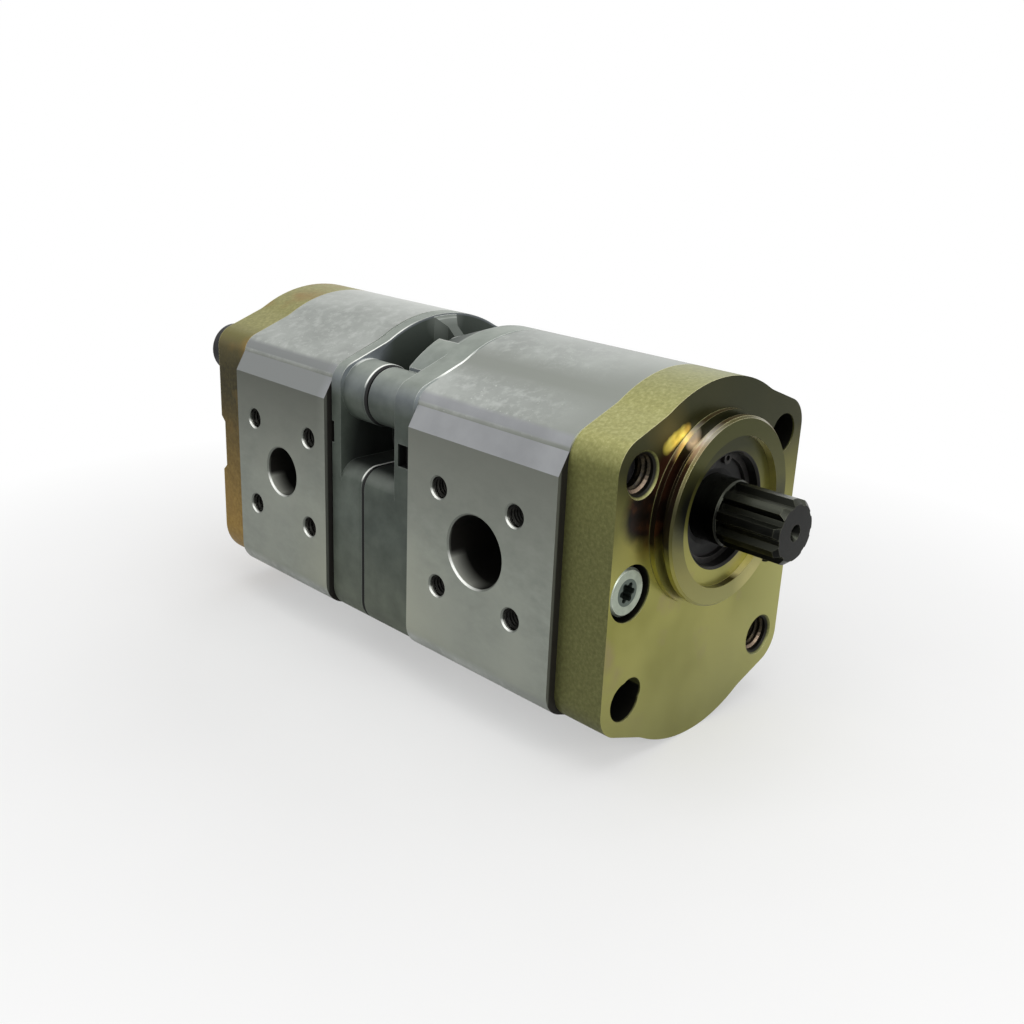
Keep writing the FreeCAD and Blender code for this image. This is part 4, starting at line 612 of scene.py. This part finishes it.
# Painted light on the upper parts of the bosses.
high_end = fade_along(waist_finish, place, "Z", 29, 36)
boss_painted_light = ramp(waist_finish, mottle, (0.3, "#666c6f"), (0.5, "#70767a"), (0.72, "#7d8386"))
skin = blend(waist_finish, high_end, skin, boss_painted_light)
on_top = facing(waist_finish, normal, "Z", 0.3, 0.9)
lit = ramp(waist_finish, mottle, (0.3, "#7b827a"), (0.5, "#878e86"), (0.72, "#959b93"))
skin = blend(waist_finish, on_top, skin, lit)
# Painted shade darkens the hollows under the crown's wall and the slots in its top; through the
# slots the web's top is painted lighter.
from_axis = radius_from(waist_finish, place, (0, CROWN_AXIS))
hollows = between(waist_finish, from_axis, 40.6 * MM, 35 * MM)
skin = blend(waist_finish, hollows, skin, "#2a2e2b")
in_slot = both(
    waist_finish,
    between(waist_finish, from_axis, 41.5 * MM, 41.2 * MM),
    both(
        waist_finish,
        fade_along(waist_finish, place, "Y", 26, 20, mirrored=True),
        fade_along(waist_finish, place, "Z", 20, 26),
    ),
)
from_web = radius_from(waist_finish, place, (0, WEB_TOP))
on_web = between(waist_finish, from_web, 8 * MM, 3 * MM)
web_top = fade_along(waist_finish, place, "X", SPLIT - 7, SPLIT - 11)
web_painted_light = blend(waist_finish, web_top, "#525852", "#7c827c")
slot_painted_shading = blend(waist_finish, on_web, "#444b45", web_painted_light)
skin = blend(waist_finish, in_slot, skin, slot_painted_shading)
# Edges: paler fettled metal low down, a painted highlight on the high edges.
edge = worn_and_lit_edges(waist_finish, 0.3)
high_edge = fade_along(waist_finish, place, "Z", 34, 38)
fettled_and_lit_edges = blend(waist_finish, high_edge, "#747a75", "#e6e9e3")
fettled_and_lit_edges = blend(waist_finish, in_slot, fettled_and_lit_edges, "#5f665f")
skin = blend(waist_finish, edge, skin, fettled_and_lit_edges)
# Painted shade inside the side notches.
notch = both(
    waist_finish,
    fade_along(waist_finish, place, "Y", 39.7, 39.2, mirrored=True),
    round_line(waist_finish, place, NOTCHES, NOTCH_REACH, mirrored=True),
)
from_split = add(
    waist_finish,
    "VectorMath",
    {"operation": "SUBTRACT", "Vector_001": (SPLIT * MM, 0, 0)},
    {"Vector": place},
)
past_plate = add(
    waist_finish,
    "Math",
    {"operation": "MAXIMUM"},
    {
        "Value": facing(waist_finish, normal, "X", 0.8, 0.5, mirrored=True),
        "Value_001": fade_along(waist_finish, from_split, "X", 14.4, 14.5, mirrored=True),
    },
)
notch = both(waist_finish, notch, past_plate)
skin = blend(waist_finish, notch, skin, "#151716")
# Painted highlights on the rims that face up: on the bosses behind the split, along the crown's
# open lip, and on the joint with the front body where the crown begins.
facing_up = facing(waist_finish, normal, "Z", 0.35, 0.6)
boss_rim = band(waist_finish, from_split, "X", (-1.35, -1.2), (-0.6, -0.65))
joint_rim = both(
    waist_finish,
    fade_along(waist_finish, from_split, "X", 21.9, 22.05),
    band(waist_finish, place, "Z", (39.5, 41), (46, 43)),
)
lip_rim = both(
    waist_finish,
    band(waist_finish, from_split, "X", (-10.85, -10.7), (-9, -9.1)),
    band(waist_finish, place, "Z", (37.5, 39), (48.5, 46)),
)
for rim in (boss_rim, lip_rim, joint_rim):
    skin = blend(waist_finish, both(waist_finish, rim, facing_up), skin, "#f4f6f0")
in_split = fade_along(waist_finish, from_split, "X", 0.65, 0.5, mirrored=True)
skin = blend(waist_finish, in_split, skin, "#0d0e0d")
relief = add(
    waist_finish,
    "Bump",
    {"Strength": 0.3, "Distance": 0.06 * MM},
    {"Height": grain(waist_finish, place, 0.9, detail=3)},
)
finish_material(
    waist_finish,
    {"Metallic": 0.4, "Roughness": 0.5},
    {"Base Color": skin, "Normal": relief},
)
dress(waist_finish, "front_stage_end_cover", "rear_stage_front_cover")

# ---- Rear cover ----
# The last casting is iron, plated and passivated as the flange is but more golden, with cast
# skin all over but for the joint face.

# Yellow-passivated zinc on cast iron: ochre gold that turns orange-brown low on the sides.
cover_finish, place, normal = start_material("gold_passivated_zinc_on_cast_iron")
mottle = grain(cover_finish, place, 1.2, detail=4, roughness=0.6)
skin = ramp(cover_finish, mottle, (0.3, "#352f17"), (0.5, "#3f391c"), (0.72, "#4d4625"))
low_side = fade_along(cover_finish, place, "Z", 18, -26)
orange = ramp(cover_finish, mottle, (0.3, "#85692c"), (0.5, "#937636"), (0.72, "#a28543"))
skin = blend(cover_finish, low_side, skin, orange)
high_side = fade_along(cover_finish, place, "Z", 27, 36)
skin = blend(cover_finish, high_side, skin, "#645c38")
on_top = facing(cover_finish, normal, "Z", 0.3, 0.8)
crown = ramp(cover_finish, mottle, (0.3, "#7f7b47"), (0.5, "#8b8851"), (0.72, "#9d9961"))
shoulder = fade_along(cover_finish, place, "Y", 31, 37, mirrored=True)
crown = blend(cover_finish, shoulder, crown, "#6e6938")
skin = blend(cover_finish, on_top, skin, crown)
drift = between(cover_finish, grain(cover_finish, place, 15, seed=2), 0.5, 0.72)
skin = blend(cover_finish, drift, skin, "#8a6e35")
skin = blend(cover_finish, worn_and_lit_edges(cover_finish, 0.35), skin, "#cfc68f")
relief = add(
    cover_finish,
    "Bump",
    {"Strength": 0.4, "Distance": 0.15 * MM},
    {"Height": grain(cover_finish, place, 1.1, detail=4)},
)
finish_material(
    cover_finish,
    {"Metallic": 0.7, "Roughness": 0.46},
    {"Base Color": skin, "Normal": relief},
)
dress(cover_finish, "rear_cover")

# ---- Face seals and block seals ----
# Moulded nitrile rings in grooves keep the oil in at each joint and behind each bearing block.
# They are the same black rubber as the shaft seal.
dress(
    seal_finish,
    "front_body_front_seal",
    "front_body_rear_seal",
    "rear_body_front_seal",
    "rear_body_rear_seal",
    "front_stage_front_block_seal",
    "front_stage_rear_block_seal",
    "rear_stage_front_block_seal",
    "rear_stage_rear_block_seal",
    "stage_shaft_seal",
    "stage_joint_seal",
)

# ---- Bearing blocks ----
# The blocks that hold the journals are machined from die-cast aluminium and float between the
# gears and the covers.

# Turned aluminium: bright grey with fine rings round each journal.
block_finish, place, _ = start_material("turned_aluminium_bearing_block")
rings = add(
    block_finish,
    "TexWave",
    {"wave_type": "RINGS", "rings_direction": "X", "Scale": 1 / (2.0 * MM), "Distortion": 0.6},
    {"Vector": place},
)
tone = ramp(block_finish, (rings, "Fac"), (0.2, "#a3a5a4"), (0.8, "#b6b8b7"))
finish_material(block_finish, {"Metallic": 0.9, "Roughness": 0.32}, {"Base Color": tone})
dress(
    block_finish,
    "front_stage_front_block",
    "front_stage_rear_block",
    "rear_stage_front_block",
    "rear_stage_rear_block",
)

# ---- Bushes ----
# Rolled steel-backed bronze bushes carry the journals. They are pressed into the blocks, with
# their ends a little below the blocks' faces.

# Bronze: warm brown-gold, burnished lengthwise by the shaft.
bush_finish, place, _ = start_material("rolled_bearing_bronze")
burnish = grain(bush_finish, place, 0.8, stretch=(0.1, 1, 1))
tone = ramp(bush_finish, burnish, (0.3, "#8a6a3c"), (0.7, "#b08c54"))
finish_material(bush_finish, {"Metallic": 0.9, "Roughness": 0.3}, {"Base Color": tone})
dress(bush_finish, "front_stage_bushes", "rear_stage_bushes")

# ---- Drive gear with its splined shaft ----
# Gear, journals and splined end are one piece of case-hardened steel. The end that shows was
# left with the dark scale of hardening and a film of oil.

# Hardened steel: blue-black with paler edges and a painted highlight on the faces that look up,
# inside the bright ground gear.
shaft_finish, place, normal = start_material("case_hardened_steel_dark_end")
scale_and_sheen = ramp(shaft_finish, grain(shaft_finish, place, 3.0), (0.3, "#0b0c0a"), (0.7, "#151613"))
upward = facing(shaft_finish, normal, "Z", 0.25, 0.9)
scale_and_sheen = blend(shaft_finish, upward, scale_and_sheen, "#40423a")
scale_and_sheen = blend(shaft_finish, worn_and_lit_edges(shaft_finish, 0.25), scale_and_sheen, "#4c4d42")
ground = ramp(
    shaft_finish,
    grain(shaft_finish, place, 0.6, stretch=(6, 1, 1)),
    (0.3, "#7f8182"),
    (0.7, "#989a9b"),
)
is_outside = fade_along(shaft_finish, place, "X", -8, -7)
finish_material(
    shaft_finish,
    {"Metallic": 0.92, "Roughness": 0.27},
    {"Base Color": blend(shaft_finish, is_outside, ground, scale_and_sheen)},
)
dress(shaft_finish, "front_drive_gear")

# ---- Idler gears, rear drive gear and coupling ----
# Case-hardened and ground steel, wet with oil inside the pump. The coupling is a splined sleeve
# that joins the two drive gears.

# Ground steel: even, bright grey with fine lines round the axis.
gear_finish, place, _ = start_material("case_hardened_ground_steel")
lines = grain(gear_finish, place, 0.6, stretch=(6, 1, 1))
tone = ramp(gear_finish, lines, (0.3, "#7b7d7e"), (0.7, "#96989a"))
tone = blend(gear_finish, worn_and_lit_edges(gear_finish, 0.2), tone, "#b0b2b4")
finish_material(gear_finish, {"Metallic": 0.95, "Roughness": 0.28}, {"Base Color": tone})
dress(gear_finish, "front_idler_gear", "rear_idler_gear", "rear_drive_gear", "shaft_coupling")

# ---- Long bolts, flange screws and pins ----
# Two black M10 socket-head bolts run from the rear cover to the flange and clamp the row. Two
# zinc-plated Torx screws hold the flange on the front body, and hardened pins locate each joint.
SOCKET_RIM_RADIUS = 3.6
SOCKET_RADIUS = 3.9

# Black oxide on steel: matt black with grey metal rubbed bare on the edges.
bolt_finish, place, _ = start_material("black_oxide_alloy_steel")
oxide = ramp(bolt_finish, grain(bolt_finish, place, 2.0), (0.3, "#161617"), (0.7, "#29292a"))
oxide = blend(bolt_finish, worn_and_lit_edges(bolt_finish, 0.25), oxide, "#5a5a59")
finish_material(bolt_finish, {"Metallic": 0.6, "Roughness": 0.45}, {"Base Color": oxide})
dress(bolt_finish, "tie_bolts")

# Bright zinc: pale, faintly green silver, with painted shade in the drive socket.
screw_finish, place, _ = start_material("bright_zinc_plated_steel")
plate = ramp(screw_finish, grain(screw_finish, place, 2.2), (0.3, "#949d8f"), (0.7, "#aab3a4"))
plate = blend(screw_finish, worn_and_lit_edges(screw_finish, 0.2), plate, "#e3e7dc")
screws = (SCREW_OFFSET, 0)
in_socket = both(
    screw_finish,
    round_line(screw_finish, place, screws, SOCKET_RADIUS, mirrored=True),
    fade_along(screw_finish, place, "X", -1.1, -1.5),
)
socket_rim = round_line(screw_finish, place, screws, SOCKET_RIM_RADIUS, mirrored=True)
plate = blend(screw_finish, socket_rim, plate, "#566059")
plate = blend(screw_finish, in_socket, plate, "#353d37")
finish_material(screw_finish, {"Metallic": 0.75, "Roughness": 0.3}, {"Base Color": plate})
dress(screw_finish, "flange_screws")

# Ground pin steel: clean bright grey.
pin_finish, place, _ = start_material("ground_dowel_steel")
lines = grain(pin_finish, place, 0.5, stretch=(5, 1, 1))
tone = ramp(pin_finish, lines, (0.3, "#a0a2a3"), (0.7, "#b8babb"))
finish_material(pin_finish, {"Metallic": 0.95, "Roughness": 0.22}, {"Base Color": tone})
dress(pin_finish, "locating_pins")

# ---- Studio ----
# The pump stands on a pale matt floor between a large soft lamp above it and another in front of
# the flange, with a weak one on either side, as in a plain product picture.
FLOOR_HEIGHT = -49.5 * MM
FLOOR_HALF = 3.0
AIM = Vector((-70, 0, 0)) * MM
SHADOW_REACH = (110 * MM, 260 * MM)
WORLD_LEVEL = 0.42


def distance_from(material, place, centre):
    """The distance in metres from a point."""
    step = {"operation": "DISTANCE", "Vector_001": tuple(centre)}
    return (add(material, "VectorMath", step, {"Vector": place}), "Value")


corners = ((-1, -1), (1, -1), (1, 1), (-1, 1))
corners = [(x * FLOOR_HALF, y * FLOOR_HALF, FLOOR_HEIGHT) for x, y in corners]
floor_mesh = bpy.data.meshes.new("floor")
floor_mesh.from_pydata(corners, [], [(0, 1, 2, 3)])
floor = bpy.data.objects.new("floor", floor_mesh)
bpy.context.scene.collection.objects.link(floor)
# Matt white board that shows nearly as white as the backdrop and keeps the pump's soft shadow.
floor_finish, place, _ = start_material("matt_white_board")
board = ramp(floor_finish, grain(floor_finish, place, 60), (0.3, "#e6e6e5"), (0.7, "#eaeae9"))
matt = add(floor_finish, "BsdfDiffuse", links={"Color": board})
glow = add(floor_finish, "Emission", {"Color": (1, 1, 1, 1), "Strength": 1.0})
seen = add(floor_finish, "LightPath")
away = between(floor_finish, distance_from(floor_finish, place, AIM), *SHADOW_REACH)
away = add(floor_finish, "MapRange", {"To Min": 0.45, "To Max": 1.0}, {"Value": away})
shown = both(floor_finish, away, (seen, "Is Camera Ray"))
shaders = {"Fac": shown, "Shader": matt, "Shader_001": glow}
lit_board = add(floor_finish, "MixShader", links=shaders)
add(floor_finish, "OutputMaterial", links={"Surface": lit_board})
floor_mesh.materials.append(floor_finish)

# A plain white surround. The camera and the glossy metal see it at full strength, and the light
# that it gives matt surfaces is held at a plain level.
world = bpy.data.worlds.new("studio")
bpy.context.scene.world = world
world.use_nodes = True
world.node_tree.nodes.clear()
seen = add(world, "LightPath")
plain = add(
    world,
    "Math",
    {"operation": "MAXIMUM"},
    {"Value": (seen, "Is Camera Ray"), "Value_001": (seen, "Is Glossy Ray")},
)
plain = add(
    world,
    "Math",
    {"operation": "MAXIMUM"},
    {"Value": plain, "Value_001": (seen, "Is Transmission Ray")},
)
strength = add(world, "MapRange", {"To Min": WORLD_LEVEL, "To Max": 1.0}, {"Value": plain})
sky = add(world, "Background", {"Color": (1, 1, 1, 1)}, {"Strength": strength})
add(world, "OutputWorld", links={"Surface": sky})

# Each lamp's place and width in millimetres and its power in watts.
lamps = {
    "top_lamp": ((20, -60, 560), 520, 1.5),
    "front_lamp": ((560, -120, 220), 420, 1.7),
    "side_lamp": ((-40, -620, 240), 420, 0.5),
    "back_lamp": ((-300, 520, 300), 420, 0.5),
}
for name, (spot, size, power) in lamps.items():
    lamp = bpy.data.lights.new(name, "AREA")
    lamp.energy = power
    lamp.size = size * MM
    holder = bpy.data.objects.new(name, lamp)
    spot = Vector(spot) * MM
    holder.location = spot
    holder.rotation_euler = (AIM - spot).to_track_quat("-Z", "Y").to_euler()
    bpy.context.scene.collection.objects.link(holder)

# The camera stands where the photograph's did: off the inlet side and the drive end, a little
# above the shaft. It was solved from the mounting holes and the port screws' holes.
PIXELS = 1024
FOCAL_PIXELS = 1147.25
CAMERA_PLACE = (0.15661, -0.23519, 0.11117)
azimuth = math.radians(44.096)
elevation = math.radians(19.687)
roll = math.radians(2.512)
back = Vector(
    (
        math.sin(azimuth) * math.cos(elevation),
        -math.cos(azimuth) * math.cos(elevation),
        math.sin(elevation),
    )
)
level = Vector((math.cos(azimuth), math.sin(azimuth), 0))
across = math.cos(roll) * level + math.sin(roll) * back.cross(level)
up = back.cross(across)
lens = bpy.data.cameras.new("photo_view")
lens.sensor_width = 36
lens.lens = FOCAL_PIXELS / PIXELS * lens.sensor_width
lens.clip_start = 0.01
camera = bpy.data.objects.new("photo_view", lens)
turned = Matrix((across, up, back)).transposed().to_4x4()
camera.matrix_world = Matrix.Translation(CAMERA_PLACE) @ turned
bpy.context.scene.collection.objects.link(camera)
bpy.context.scene.camera = camera
bpy.context.scene.view_settings.view_transform = "Standard"
